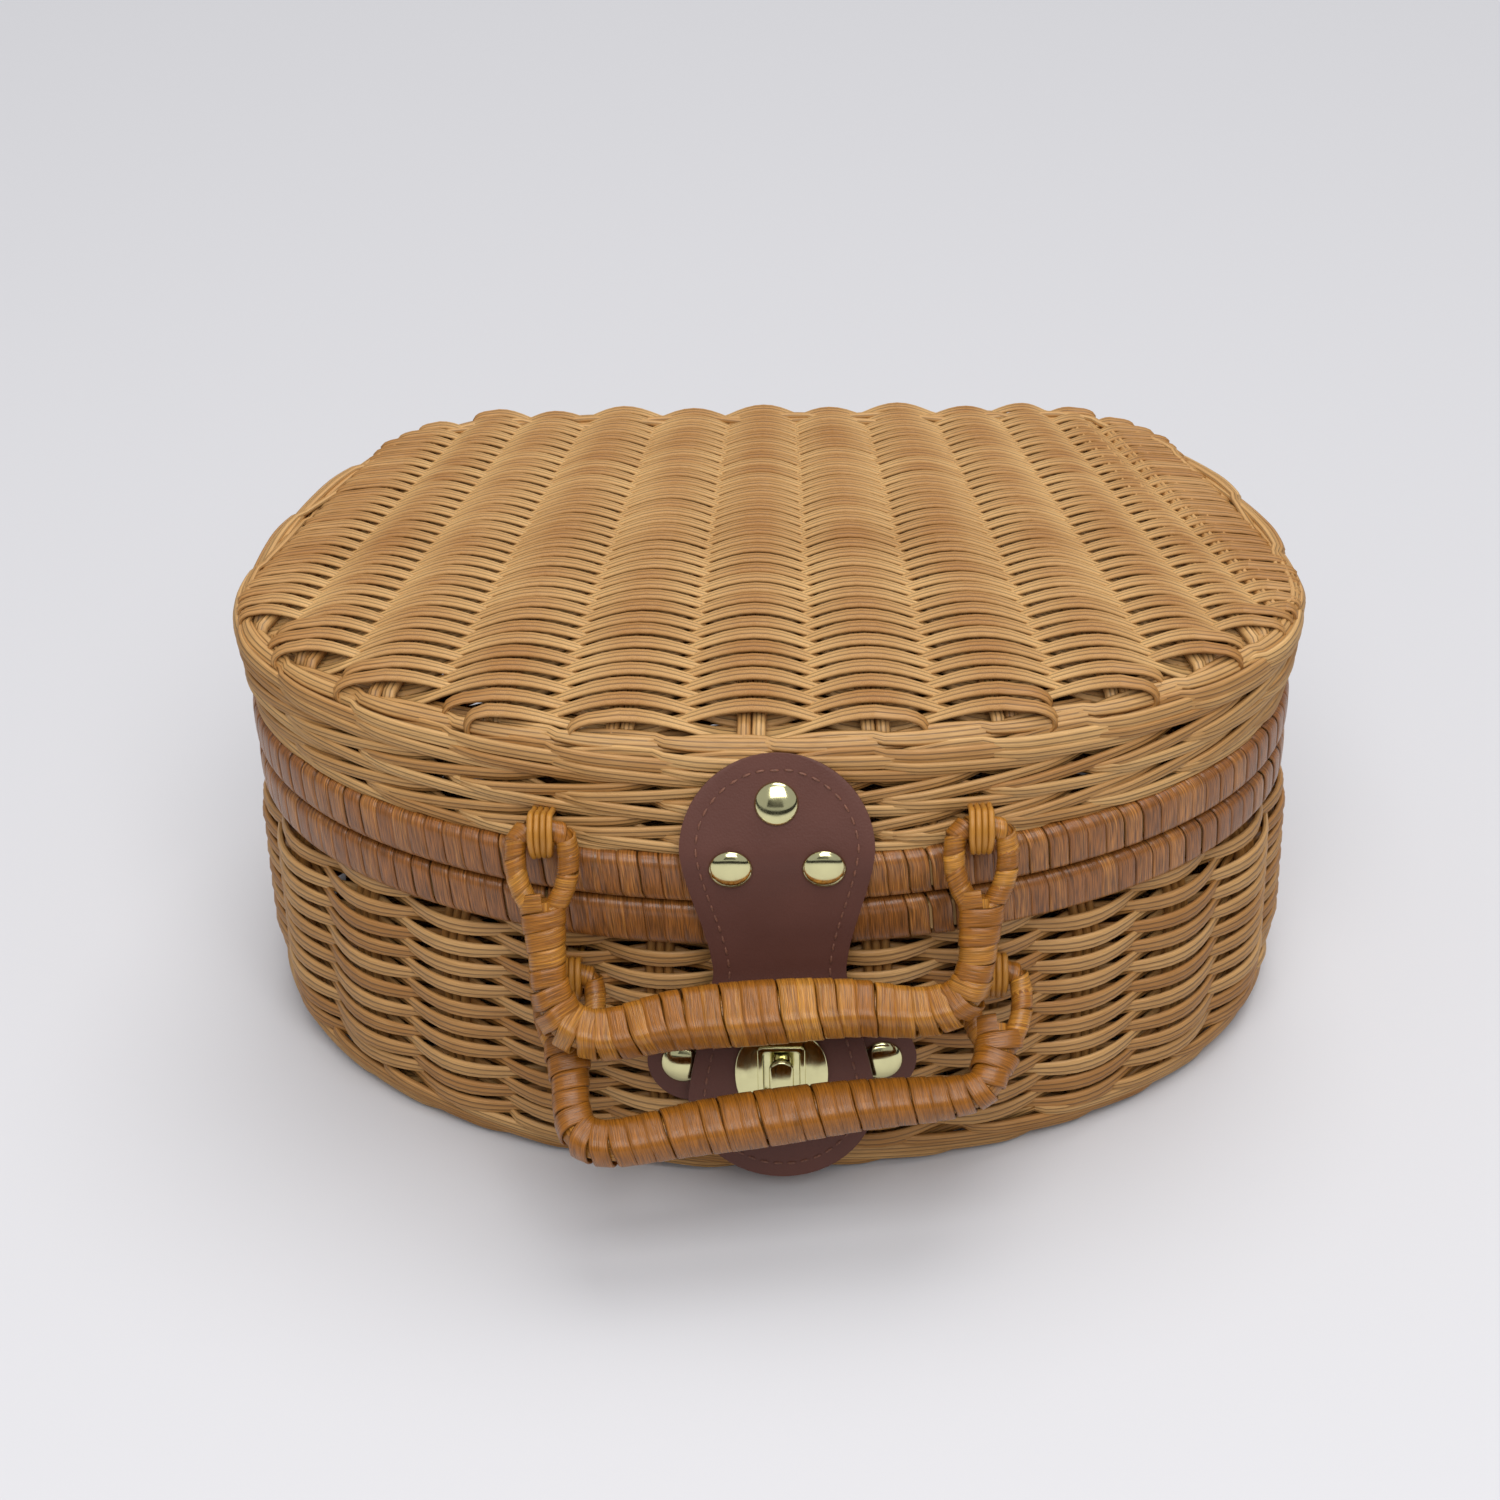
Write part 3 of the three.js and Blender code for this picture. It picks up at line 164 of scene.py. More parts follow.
class BasketWinding(bpy.types.PropertyGroup):
    rim_turn: length("Rim Turn", "Width of one turn of strip round a rim", 5.7)
    grip_turn: length("Grip Turn", "Width of one turn of strip round a handle", 5.3)
    eye_turn: length("Eye Turn", "Width of one turn of strip round a handle eye", 4.8)
    strip: length("Strip Thickness", "Thickness of the wound strip", 1.0)


class BasketLeather(bpy.types.PropertyGroup):
    thickness: length("Leather Thickness", "Thickness of the strap and the patch", 1.8)
    stitch_inset: length("Stitch Inset", "From the strap's edge to its stitches", 4.6)
    stitch_pitch: length("Stitch Pitch", "From one stitch to the next", 4.0)
    stitch_length: length("Stitch Length", "Length of one stitch", 2.9)


class BasketColours(bpy.types.PropertyGroup):
    willow_light: colour("Willow Light", "Sunny side of the split willow", "#CFA66C")
    willow_dark: colour("Willow Dark", "Deeper strands of the split willow", "#9D6C35")
    rim_light: colour("Rim Light", "Lighter turns of the strip round the rims", "#C78A45")
    rim_dark: colour("Rim Dark", "Darker turns of the strip round the rims", "#885322")
    grip_light: colour("Grip Light", "Lighter turns of the strip round the handles", "#D79A40")
    grip_dark: colour("Grip Dark", "Darker turns of the strip round the handles", "#905818")
    tie: colour("Tie", "Golden strands that hold the handles", "#BD802B")
    leather: colour("Leather", "Face of the strap", "#5A372E")
    thread: colour("Thread", "Stitches on the strap", "#6E4432")
    brass: colour("Brass", "Rivets and lock", "#DED8A4")
    floor: colour("Floor", "Studio floor", "#CCCBCD")


# Nodes and materials

def add_node(tree, kind, *values, named=None, **settings):
    """Adds a node with its settings. Values go to its inputs in order, and named ones by name."""
    made = tree.nodes.new(kind)
    for label, value in settings.items():
        setattr(made, label, value)
    for key, value in [*enumerate(values), *(named or {}).items()]:
        if value is None:
            continue
        if isinstance(value, bpy.types.NodeSocket):
            tree.links.new(value, made.inputs[key])
        else:
            made.inputs[key].default_value = value
    return made


def maths(tree, operation, *values, **settings):
    """The result of one sum on sockets or numbers."""
    return add_node(tree, "ShaderNodeMath", *values, operation=operation, **settings).outputs[0]


def remapped(tree, value, low, high, new_low, new_high):
    """A value taken from one range to another, and held at its ends."""
    return add_node(tree, "ShaderNodeMapRange", value, low, high, new_low, new_high).outputs[0]


def noise(tree, place, scale, detail):
    """A soft noise from 0 to 1, with scale in cells to the metre."""
    made = add_node(tree, "ShaderNodeTexNoise", named={"Vector": place, "Scale": scale, "Detail": detail})
    return made.outputs["Fac"]


def named_field(tree, name, kind="FLOAT"):
    """An attribute of the mesh, read in a geometry tree."""
    return add_node(tree, "GeometryNodeInputNamedAttribute", name, data_type=kind).outputs[0]


def stored(tree, geometry, name, value, kind="FLOAT"):
    """A geometry with an attribute written to it."""
    return add_node(tree, "GeometryNodeStoreNamedAttribute", geometry, data_type=kind,
                    named={"Name": name, "Value": value}).outputs[0]


def blended(tree, share, first, second):
    """A colour between two, by share."""
    return add_node(tree, "ShaderNodeMix", data_type="RGBA",
                    named={"Factor": share, 6: (*first, 1), 7: (*second, 1)}).outputs[2]


def shaded(tree, base, shade):
    """A colour made lighter or darker."""
    return add_node(tree, "ShaderNodeVectorMath", base, shade, operation="MULTIPLY").outputs[0]


def bumped(tree, strength, distance, height):
    """The surface's direction, bent by a height."""
    return add_node(tree, "ShaderNodeBump", named={
        "Strength": strength, "Distance": distance, "Height": height}).outputs[0]


def set_shader(tree, shader, **values):
    """Gives a shader its sockets and numbers, named with underscores for spaces."""
    for label, value in values.items():
        socket = shader.inputs[label.replace("_", " ")]
        if isinstance(value, bpy.types.NodeSocket):
            tree.links.new(value, socket)
        else:
            socket.default_value = value


def new_material(name):
    """A material with its tree and its main shader, or None in the tree's place where it was made before."""
    found = bpy.data.materials.get(name)
    if found:
        return found, None, None
    made = bpy.data.materials.new(name)
    made.use_nodes = True
    tree = made.node_tree
    return made, tree, tree.nodes["Principled BSDF"]


def willow(name, light, dark, roughness, streak=0.5, grain=0.2, gloss=0.5, joint=0.0, ribs=0):
    """Split willow or cane, scraped and lacquered: fibre lines along each strand give it a soft
    broken gloss, and each strand or turn has its own depth of honey brown, with painted shade
    added where its tone carries it, and painted shade in the grooves between ribs."""
    made, tree, shader = new_material(name)
    if not tree:
        return made
    along = add_node(tree, "ShaderNodeAttribute", attribute_name="along").outputs["Fac"]
    across = add_node(tree, "ShaderNodeAttribute", attribute_name="across").outputs["Vector"]
    tone = add_node(tree, "ShaderNodeAttribute", attribute_name="tone").outputs["Fac"]
    split = add_node(tree, "ShaderNodeSeparateXYZ", across)
    # Fibres are some 0.5 mm apart and run on for about 20 mm
    slow = maths(tree, "MULTIPLY", along, 10.0)
    fibres = add_node(tree, "ShaderNodeCombineXYZ", split.outputs[0], split.outputs[1], slow)
    lines = noise(tree, fibres.outputs[0], 5.0, 3.0)
    fine = noise(tree, fibres.outputs[0], 14.0, 2.0)
    place = add_node(tree, "ShaderNodeTexCoord").outputs["Object"]
    patches = noise(tree, place, 45.0, 2.0)
    weighed = maths(tree, "MULTIPLY", tone, 0.75)
    mixed = maths(tree, "MULTIPLY_ADD", patches, 0.35, weighed)
    depth = maths(tree, "MULTIPLY_ADD", lines, streak, mixed)
    ramp = remapped(tree, depth, 0.38, 1.1, 0.0, 1.0)
    base = blended(tree, ramp, light, dark)
    shade = remapped(tree, fine, 0.35, 0.65, 1.04 - grain, 1.04 + grain / 2)
    if ribs:
        # Painted shade darkens the grooves between the ribs
        phase = maths(tree, "MULTIPLY", split.outputs[0], ribs * math.pi / 2)
        wave = maths(tree, "COSINE", phase)
        lift = maths(tree, "ABSOLUTE", wave)
        rim = maths(tree, "ABSOLUTE", split.outputs[0])
        past = remapped(tree, rim, 0.7, 0.85, 0.0, 0.22)
        open_side = maths(tree, "ADD", lift, past)
        painted_groove_shade = remapped(tree, open_side, 0.0, 0.7, 0.34, 1.08)
        shade = maths(tree, "MULTIPLY", shade, painted_groove_shade)
    if joint:
        # Turns meet at their edges, tightly here and with a dark line there, most of all on top
        side = maths(tree, "ABSOLUTE", split.outputs[0])
        edge = remapped(tree, side, 0.88, 0.96, 0.0, joint)
        uneven = noise(tree, place, 110.0, 1.0)
        amount = remapped(tree, uneven, 0.42, 0.58, 0.15, 1.0)
        normal = add_node(tree, "ShaderNodeNewGeometry").outputs["Normal"]
        up = add_node(tree, "ShaderNodeSeparateXYZ", normal).outputs[2]
        above = remapped(tree, up, 0.1, 0.75, 0.3, 1.0)
        most = maths(tree, "MULTIPLY", amount, above)
        dark_line = maths(tree, "MULTIPLY", edge, most)
        left = maths(tree, "SUBTRACT", 1.0, dark_line)
        shade = maths(tree, "MULTIPLY", shade, left)
    toned = shaded(tree, base, shade)
    rough = remapped(tree, lines, 0.2, 0.8, roughness - 0.06, roughness + 0.1)
    normal = bumped(tree, 0.4, 0.3 * MM, maths(tree, "ADD", lines, fine))
    set_shader(tree, shader, Base_Color=toned, Roughness=rough, Normal=normal, Specular_IOR_Level=gloss)
    return made


def cane(name, colours, roughness, **settings):
    """Willow or cane in one pair of the user's colours."""
    chosen = bpy.context.scene.basket_colours
    return willow(name, getattr(chosen, f"{colours}_light"), getattr(chosen, f"{colours}_dark"),
                  roughness, **settings)


def woven_willow():
    """Split willow with three ribs on its face, as the walls and the lid are woven."""
    return cane("Split willow, ribbed", "willow", 0.42, gloss=0.4, ribs=3)


def round_willow():
    """Peeled round willow: stakes, hoops and the rods inside the handles."""
    return cane("Peeled willow rod", "willow", 0.42)


def rim_strip():
    """Flat cane under reddish honey lacquer, wound round the rims."""
    return cane("Cane strip, honey lacquer", "rim", 0.3, streak=1.1, grain=0.65, joint=0.85)


def grip_strip():
    """Flat cane under amber lacquer, wound round the handles."""
    return cane("Cane strip, amber lacquer", "grip", 0.28, streak=0.9, grain=0.5, gloss=0.4, joint=0.7)


def tie_cane():
    """Thin round cane under golden lacquer, for the ties."""
    light = bpy.context.scene.basket_colours.tie
    return willow("Tie cane, golden lacquer", light, [channel * 0.7 for channel in light], 0.34)


def leather():
    """Finished cowhide: a fine pebbled grain about 0.7 mm across under a satin top coat."""
    made, tree, shader = new_material("Finished cowhide")
    if not tree:
        return made
    base = bpy.context.scene.basket_colours.leather
    place = add_node(tree, "ShaderNodeTexCoord").outputs["Object"]
    cloud = noise(tree, place, 60.0, 4.0)
    mix = blended(tree, cloud, [c * 0.86 for c in base], [min(1, c * 1.14) for c in base])
    pebbles = add_node(tree, "ShaderNodeTexVoronoi", named={"Vector": place, "Scale": 1400.0})
    creases = noise(tree, place, 500.0, 3.0)
    height = maths(tree, "ADD", pebbles.outputs["Distance"], creases)
    normal = bumped(tree, 0.22, 0.2 * MM, height)
    rough = remapped(tree, cloud, 0.3, 0.7, 0.46, 0.58)
    set_shader(tree, shader, Base_Color=mix, Roughness=rough, Normal=normal, Specular_IOR_Level=0.25)
    return made


def waxed_thread():
    """Waxed polyester thread: two plies with a low gloss."""
    made, tree, shader = new_material("Waxed thread")
    if not tree:
        return made
    base = bpy.context.scene.basket_colours.thread
    place = add_node(tree, "ShaderNodeTexCoord").outputs["Object"]
    plies = noise(tree, place, 1500.0, 1.0)
    shade = remapped(tree, plies, 0.3, 0.7, 0.7, 1.25)
    set_shader(tree, shader, Base_Color=shaded(tree, tuple(base), shade), Roughness=0.6)
    return made


def metal(name, base, roughness, scratch):
    """Polished plated brass or plain steel: a smooth metal with faint rubbing marks."""
    made, tree, shader = new_material(name)
    if not tree:
        return made
    place = add_node(tree, "ShaderNodeTexCoord").outputs["Object"]
    marks = noise(tree, place, 260.0, 4.0)
    rough = remapped(tree, marks, 0.35, 0.75, roughness, roughness + scratch)
    shade = remapped(tree, marks, 0.3, 0.8, 1.0, 0.9)
    set_shader(tree, shader, Base_Color=shaded(tree, tuple(base), shade), Roughness=rough, Metallic=1.0)
    return made


def brass():
    """Brass plate, polished almost to a mirror."""
    return metal("Polished brass plate", bpy.context.scene.basket_colours.brass, 0.09, 0.1)


def steel():
    """Plain steel with a dull rubbed face: rivet backs, washer and backing plate."""
    return metal("Plain steel", linear("#B9B7AE"), 0.3, 0.12)


# Lines of points

def unit(vectors, tiny=0.0):
    """Rows of vectors, each brought to length 1; tiny keeps a zero row from dividing by zero."""
    return vectors / (np.linalg.norm(vectors, axis=1)[:, None] + tiny)


def run_length(points):
    """How far along a line each of its points is."""
    return np.concatenate([[0], np.cumsum(np.linalg.norm(np.diff(points, axis=0), axis=1))])


def trace(places, known, line):
    """Points of a line at places, where known gives the places of its own points."""
    return np.stack([np.interp(places, known, column) for column in line.T], -1)


def signed_power(value, power):
    """A power that keeps the sign of its value."""
    return np.sign(value) * np.abs(value) ** power


# Shapes of the basket, in plan millimetres

# Points on each stretch of half a ring
RING_STRAIGHT, RING_BEND, RING_SIDE, RING_FRONT = 120, 60, 180, 360


def level_ring(half_width, front, inset):
    """Outline of one level, from the back middle round by the left, the front and the right."""
    w, f, back, depth = half_width - inset, front - inset, BACK_Y - inset, BACK_DEPTH - inset
    corner = math.asin((back - BACK_CORNER) / depth)
    corner_x = w * math.cos(corner)
    square_x = w * math.cos(math.asin(back / depth))
    straight = np.linspace(0, square_x - BACK_CORNER, RING_STRAIGHT, endpoint=False)
    bend = np.linspace(0, 1, RING_BEND, endpoint=False)[:, None]
    start, tip, end = (np.array(place) for place in (
        (square_x - BACK_CORNER, back), (square_x, back), (corner_x, back - BACK_CORNER)))
    side = np.linspace(corner, 0, RING_SIDE, endpoint=False)
    nose = np.linspace(0, -math.pi / 2, RING_FRONT + 1)
    half = np.concatenate([
        np.stack([straight, np.full(RING_STRAIGHT, back)], 1),
        (1 - bend) ** 2 * start + 2 * bend * (1 - bend) * tip + bend ** 2 * end,
        np.stack([w * np.cos(side), depth * np.sin(side)], 1),
        np.stack([w * np.cos(nose), f * np.sin(nose)], 1),
    ])
    left = half * (-1, 1)
    return np.concatenate([left, half[-2:0:-1]])


def ring_shares(ring):
    """How far round each point of a ring is, as shares of its length, closed."""
    steps = np.linalg.norm(np.roll(ring, -1, 0) - ring, axis=1)
    total = np.concatenate([[0], np.cumsum(steps)])
    return total / total[-1]


RIM_RING = level_ring(*RIM_PLAN, RIM_INSIDE)
RIM_SHARES = ring_shares(RIM_RING)


def around(ring, share):
    """Places on a ring at shares of the way round, and the outward directions there."""
    index = np.interp(np.mod(share, 1), RIM_SHARES, np.arange(len(RIM_SHARES)))
    closed = np.concatenate([ring, ring[:1]])
    numbers = np.arange(len(closed))
    place = trace(index, numbers, closed)
    tangent = unit(np.roll(ring, -3, 0) - np.roll(ring, 3, 0))
    outward = np.stack([tangent[:, 1], -tangent[:, 0]], 1)
    closed = np.concatenate([outward, outward[:1]])
    return place, trace(index, numbers, closed)


def skin(levels, share, z, out):
    """Points of a wall at shares of the way round and heights, moved outwards, with their facings.
    levels are (z, ring) from the lowest up."""
    rows = [around(ring, share) for _, ring in levels]
    heights = np.array([height for height, _ in levels])
    step = np.clip(np.searchsorted(heights, z) - 1, 0, len(levels) - 2)
    mix = ((z - heights[step]) / (heights[step + 1] - heights[step]))[:, None]
    places = np.stack([row[0] for row in rows])
    facings = np.stack([row[1] for row in rows])
    numbers = np.arange(len(share))
    place = places[step, numbers] * (1 - mix) + places[step + 1, numbers] * mix
    facing = facings[step, numbers] * (1 - mix) + facings[step + 1, numbers] * mix
    place = place + facing * np.reshape(out, (-1, 1))
    flat = np.zeros(len(share))
    return np.column_stack([place, z]), np.column_stack([facing, flat])


def upright_levels(plan, inset, low, high):
    """Levels of a wall that stands upright, some way inside a plan."""
    return [(z, level_ring(*plan, inset)) for z in (low, high)]


# Levels of the woven walls through the middle of the weave, as height, half width, front and a further inset
BASE_LEVELS = [(z, level_ring(w, f, 4.2 + inset)) for z, w, f, inset in (
    (-2, 157, 102.5, 0), (9, 157.5, 102.5, 0), (25, 159.5, 102.3, 0), (70, 158.5, 92, 0), (83, 156.5, 92, 3.5))]
LID_LEVELS = [(z, level_ring(w, f, 3.4 + inset)) for z, w, f, inset in (
    (112, 156.5, 92, 2.4), (125, 157.3, 84.0, 0), (145, 160.5, 76.3, 0.5))]
LID_EDGE_LEVELS = upright_levels(LID_TOP_PLAN, 6.4, 130, 150)
LID_INNER_LEVELS = [upright_levels(LID_TOP_PLAN, inset, 130, 150) for inset in (11.5, 15.5)]
FLOOR_EDGE_LEVELS = [upright_levels(FOOT_PLAN, inset, 0, 20) for inset in (10.5, 15, 19.5)]


def centripetal(points, closed=False, steps=12):
    """A smooth curve through points, as the CAD's handles are drawn."""
    points = np.asarray(points, float)
    if closed:
        ends = np.concatenate([points[-1:], points, points[:2]])
    else:
        ends = np.concatenate([2 * points[:1] - points[1:2], points, 2 * points[-1:] - points[-2:-1]])
    found = []
    for p0, p1, p2, p3 in zip(ends, ends[1:], ends[2:], ends[3:]):
        d0, d1, d2 = (max(np.linalg.norm(b - a) ** 0.5, 1e-4) for a, b in ((p0, p1), (p1, p2), (p2, p3)))
        t1 = ((p1 - p0) / d0 - (p2 - p0) / (d0 + d1) + (p2 - p1) / d1) * d1
        t2 = ((p2 - p1) / d1 - (p3 - p1) / (d1 + d2) + (p3 - p2) / d2) * d1
        t = np.linspace(0, 1, steps, endpoint=False)[:, None]
        found.append((2 * t ** 3 - 3 * t ** 2 + 1) * p1 + (t ** 3 - 2 * t ** 2 + t) * t1
                     + (3 * t ** 2 - 2 * t ** 3) * p2 + (t ** 3 - t ** 2) * t2)
    if not closed:
        found.append(points[-1:])
    return np.concatenate(found)


def to_frame(points):
    """Points of the plan, in the frame's metres."""
    return (points + (0, PLAN_SHIFT, 0)) * MM


def evaluated_mesh(source, **settings):
    """A new mesh of an object as its modifiers leave it."""
    graph = bpy.context.evaluated_depsgraph_get()
    return bpy.data.meshes.new_from_object(source.evaluated_get(graph), depsgraph=graph, **settings)


def link_object(name, data):
    """An object of some data, in the scene."""
    made = bpy.data.objects.new(name, data)
    bpy.context.collection.objects.link(made)
    return made


def clean_mesh(mesh, merge=0.0):
    """Joins points closer than merge metres and turns the faces outwards."""
    work = bmesh.new()
    work.from_mesh(mesh)
    if merge:
        bmesh.ops.remove_doubles(work, verts=work.verts, dist=merge)
    bmesh.ops.recalc_face_normals(work, faces=work.faces)
    work.to_mesh(mesh)
    work.free()


# Strands: middle lines that one node tree sweeps into ribbed willow, flat strip or round cane

class Strands:
    """Middle lines of the strands of one piece, in plan millimetres. seed sets its random draws, and
    shade darkens them all: painted shade, for pieces that stand in less light."""

    def __init__(self, seed, shade=0.0):
        self.shade = shade
        self.random = np.random.default_rng(bpy.context.scene.basket_weave.seed * 100 + seed)
        self.parts = []
        self.count = 0

    def add(self, points, facing, scale=1.0, tone=None, closed=False):
        """Adds a strand. facing is the way its flat side looks."""
        points = np.asarray(points, float)
        size = len(points)
        if closed:
            tangent = np.roll(points, -1, 0) - np.roll(points, 1, 0)
        else:
            tangent = np.gradient(points, axis=0)
        tangent = unit(tangent, 1e-9)
        facing = np.broadcast_to(np.asarray(facing, float), points.shape)
        facing = facing - tangent * np.sum(facing * tangent, 1)[:, None]
        facing = unit(facing, 1e-9)
        steps = np.arange(size if closed else size - 1)
        edges = np.stack([steps, (steps + 1) % size], 1) + self.count
        tone = 0.25 + 0.5 * self.random.random() if tone is None else tone
        self.parts.append((points, facing, np.broadcast_to(float(scale) if np.isscalar(scale) else scale, size),
                           np.broadcast_to(tone, size) + self.shade, edges))
        self.count += size

    def lines(self, name):
        """The strands as an object of loose edges that carries each point's facing, scale and tone."""
        points, facing, scale, tone, edges = (
            np.concatenate([part[k] for part in self.parts]) for k in range(5))
        mesh = bpy.data.meshes.new(name)
        mesh.vertices.add(len(points))
        mesh.vertices.foreach_set("co", to_frame(points).ravel())
        mesh.edges.add(len(edges))
        mesh.edges.foreach_set("vertices", edges.ravel())
        for label, kind, key, values in (("facing", "FLOAT_VECTOR", "vector", facing),
                                         ("scale", "FLOAT", "value", scale), ("tone", "FLOAT", "value", tone)):
            mesh.attributes.new(label, kind, "POINT").data.foreach_set(key, values.astype(np.float32).ravel())
        return link_object(name, mesh)


def open_tree(name, inputs):
    """A new geometry tree with named inputs, and the node that gives them out."""
    tree = bpy.data.node_groups.new(name, "GeometryNodeTree")
    for label, kind in {"Geometry": "Geometry", **inputs, "Material": "Material"}.items():
        tree.interface.new_socket(label, in_out="INPUT", socket_type=f"NodeSocket{kind}")
    tree.interface.new_socket("Result", in_out="OUTPUT", socket_type="NodeSocketGeometry")
    return tree, tree.nodes.new("NodeGroupInput").outputs


def placed(tree, points, shape, turn):
    """A shape on every point, turned; each is given as a node."""
    return add_node(tree, "GeometryNodeInstanceOnPoints", points.outputs[0], named={
        "Instance": shape.outputs[0], "Rotation": turn.outputs[0]}).outputs[0]


def close_tree(tree, geometry, given):
    """Ends a geometry tree: smooth faces, real instances and the material."""
    smooth = add_node(tree, "GeometryNodeSetShadeSmooth", geometry)
    real = add_node(tree, "GeometryNodeRealizeInstances", smooth.outputs[0])
    painted = add_node(tree, "GeometryNodeSetMaterial", real.outputs[0], named={"Material": given["Material"]})
    add_node(tree, "NodeGroupOutput", painted.outputs[0])


def strand_tree():
    """Sweeps a ribbed oval along every line. Ribs split its faces, Flatness squares its edges and
    Spread moves its corners out to them."""
    name = "Strand Sweep"
    found = bpy.data.node_groups.get(name)
    if found:
        return found
    tree, given = open_tree(name, {"Width": "Float", "Thickness": "Float", "Ribs": "Float",
                                   "Rib Depth": "Float", "Flatness": "Float", "Spread": "Float",
                                   "Sides": "Int"})
    curve = add_node(tree, "GeometryNodeMeshToCurve", given["Geometry"])
    facing = named_field(tree, "facing", "FLOAT_VECTOR")
    scale = named_field(tree, "scale")
    tone = named_field(tree, "tone")
    turned = add_node(tree, "GeometryNodeSetCurveNormal", curve.outputs[0], mode="FREE",
                      named={"Normal": facing})
    run = add_node(tree, "GeometryNodeSplineParameter").outputs["Length"]
    started = maths(tree, "MULTIPLY_ADD", tone, 3.7, run)
    marked = stored(tree, turned.outputs[0], "along", started)
    circle = add_node(tree, "GeometryNodeCurvePrimitiveCircle", given["Sides"], named={"Radius": 1.0})
    turn = add_node(tree, "GeometryNodeSplineParameter").outputs["Factor"]
    # x runs evenly from one edge to the other and back; y is an oval with ribs
    swing = maths(tree, "PINGPONG", turn, 0.5)
    even = maths(tree, "MULTIPLY_ADD", swing, -4.0, 1.0)
    bent = maths(tree, "MULTIPLY", even, math.pi / 2)
    rounded = maths(tree, "SINE", bent)
    x = add_node(tree, "ShaderNodeMix", given["Spread"], named={"A": even, "B": rounded}).outputs[0]
    square = maths(tree, "MULTIPLY", x, x)
    left = maths(tree, "SUBTRACT", 1.0, square, use_clamp=True)
    oval = maths(tree, "POWER", left, given["Flatness"])
    quarter = maths(tree, "MULTIPLY", given["Ribs"], math.pi / 2)
    phase = maths(tree, "MULTIPLY", x, quarter)
    wave = maths(tree, "COSINE", phase)
    lift = maths(tree, "ABSOLUTE", wave)
    sunk = maths(tree, "SUBTRACT", 1.0, lift)
    valley = maths(tree, "MULTIPLY", sunk, given["Rib Depth"])
    grooved = maths(tree, "SUBTRACT", 1.0, valley)
    tall = maths(tree, "MULTIPLY", oval, grooved)
    upper = maths(tree, "SUBTRACT", 0.5, turn)
    sign = maths(tree, "SIGN", upper)
    y = maths(tree, "MULTIPLY", tall, sign)
    half_thick = maths(tree, "MULTIPLY", given["Thickness"], 0.5)
    half_wide = maths(tree, "MULTIPLY", given["Width"], 0.5)
    place = add_node(tree, "ShaderNodeCombineXYZ", maths(tree, "MULTIPLY", y, half_thick),
                     maths(tree, "MULTIPLY", x, half_wide), 0.0)
    across = add_node(tree, "ShaderNodeCombineXYZ", x, y, 0.0)
    noted = stored(tree, circle.outputs[0], "across", across.outputs[0], "FLOAT_VECTOR")
    profile = add_node(tree, "GeometryNodeSetPosition", noted, named={"Position": place.outputs[0]})
    swept = add_node(tree, "GeometryNodeCurveToMesh", marked, profile.outputs[0],
                     named={"Scale": scale, "Fill Caps": True})
    close_tree(tree, swept.outputs[0], given)
    return tree


def grow(source, tree, name, inputs):
    """Runs a tree on source with the named inputs and gives the result as a plain mesh object."""
    modifier = source.modifiers.new("Build", "NODES")
    modifier.node_group = tree
    for label, value in inputs.items():
        modifier[tree.interface.items_tree[label].identifier] = value
    mesh = evaluated_mesh(source, preserve_all_data_layers=True)
    if not mesh.polygons:
        raise RuntimeError(f"{name} came out empty")
    mesh.name = name
    bpy.data.objects.remove(source)
    made = link_object(name, mesh)
    clean_mesh(made.data)
    return made


def sweep(strands, name, material, width, thickness, ribs=1, rib_depth=0.0, flatness=0.5, spread=0.0, sides=8):
    """The strands as a mesh; width and thickness are in millimetres."""
    return grow(strands.lines(f"{name}_lines"), strand_tree(), name, {
        "Width": width * MM, "Thickness": thickness * MM, "Ribs": float(ribs), "Rib Depth": rib_depth,
        "Flatness": flatness, "Spread": spread, "Sides": sides, "Material": material})


def ribbed(strands, name, width, thickness, rib_depth=0.45, sides=12):
    """The strands as willow split with three ribs on each face."""
    return sweep(strands, name, woven_willow(), width, thickness, ribs=3, rib_depth=rib_depth, sides=sides)


def flat_strip(strands, name, material, width, thickness):
    """The strands as flat strip with rounded edges."""
    return sweep(strands, name, material, width, thickness, flatness=0.12, spread=1.0, sides=12)


def settle(piece, nodes=(), body=None, blend=None):
    """Puts a finished piece on its body, in the place of its CAD nodes; a piece given blend is baked into the
    frame and put on no body.
    """
    if blend:
        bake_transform(piece)
    else:
        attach(piece, body)
    if nodes:
        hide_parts(*nodes)


def join_pieces(name, pieces):
    """One object of several, with the materials of each kept."""
    with bpy.context.temp_override(active_object=pieces[0], selected_editable_objects=pieces):
        bpy.ops.object.join()
    pieces[0].name = pieces[0].data.name = name
    return pieces[0]


def smooth_step(share):
    """0 to 1 with soft ends."""
    share = np.clip(share, 0, 1)
    return share ** 2 * (3 - 2 * share)


def half_wave(share):
    """0 to 1 along half a wave."""
    return 0.5 - 0.5 * np.cos(np.pi * share)


def wobble(random, places, size):
    """A slow closed wave over places from 0 to 1, for the small swings that hands leave."""
    return sum(size / (k + 1) * math.sin(phase) * np.sin(2 * np.pi * (k + 1) * places + phase)
               for k, phase in enumerate(random.random(4) * 2 * np.pi))


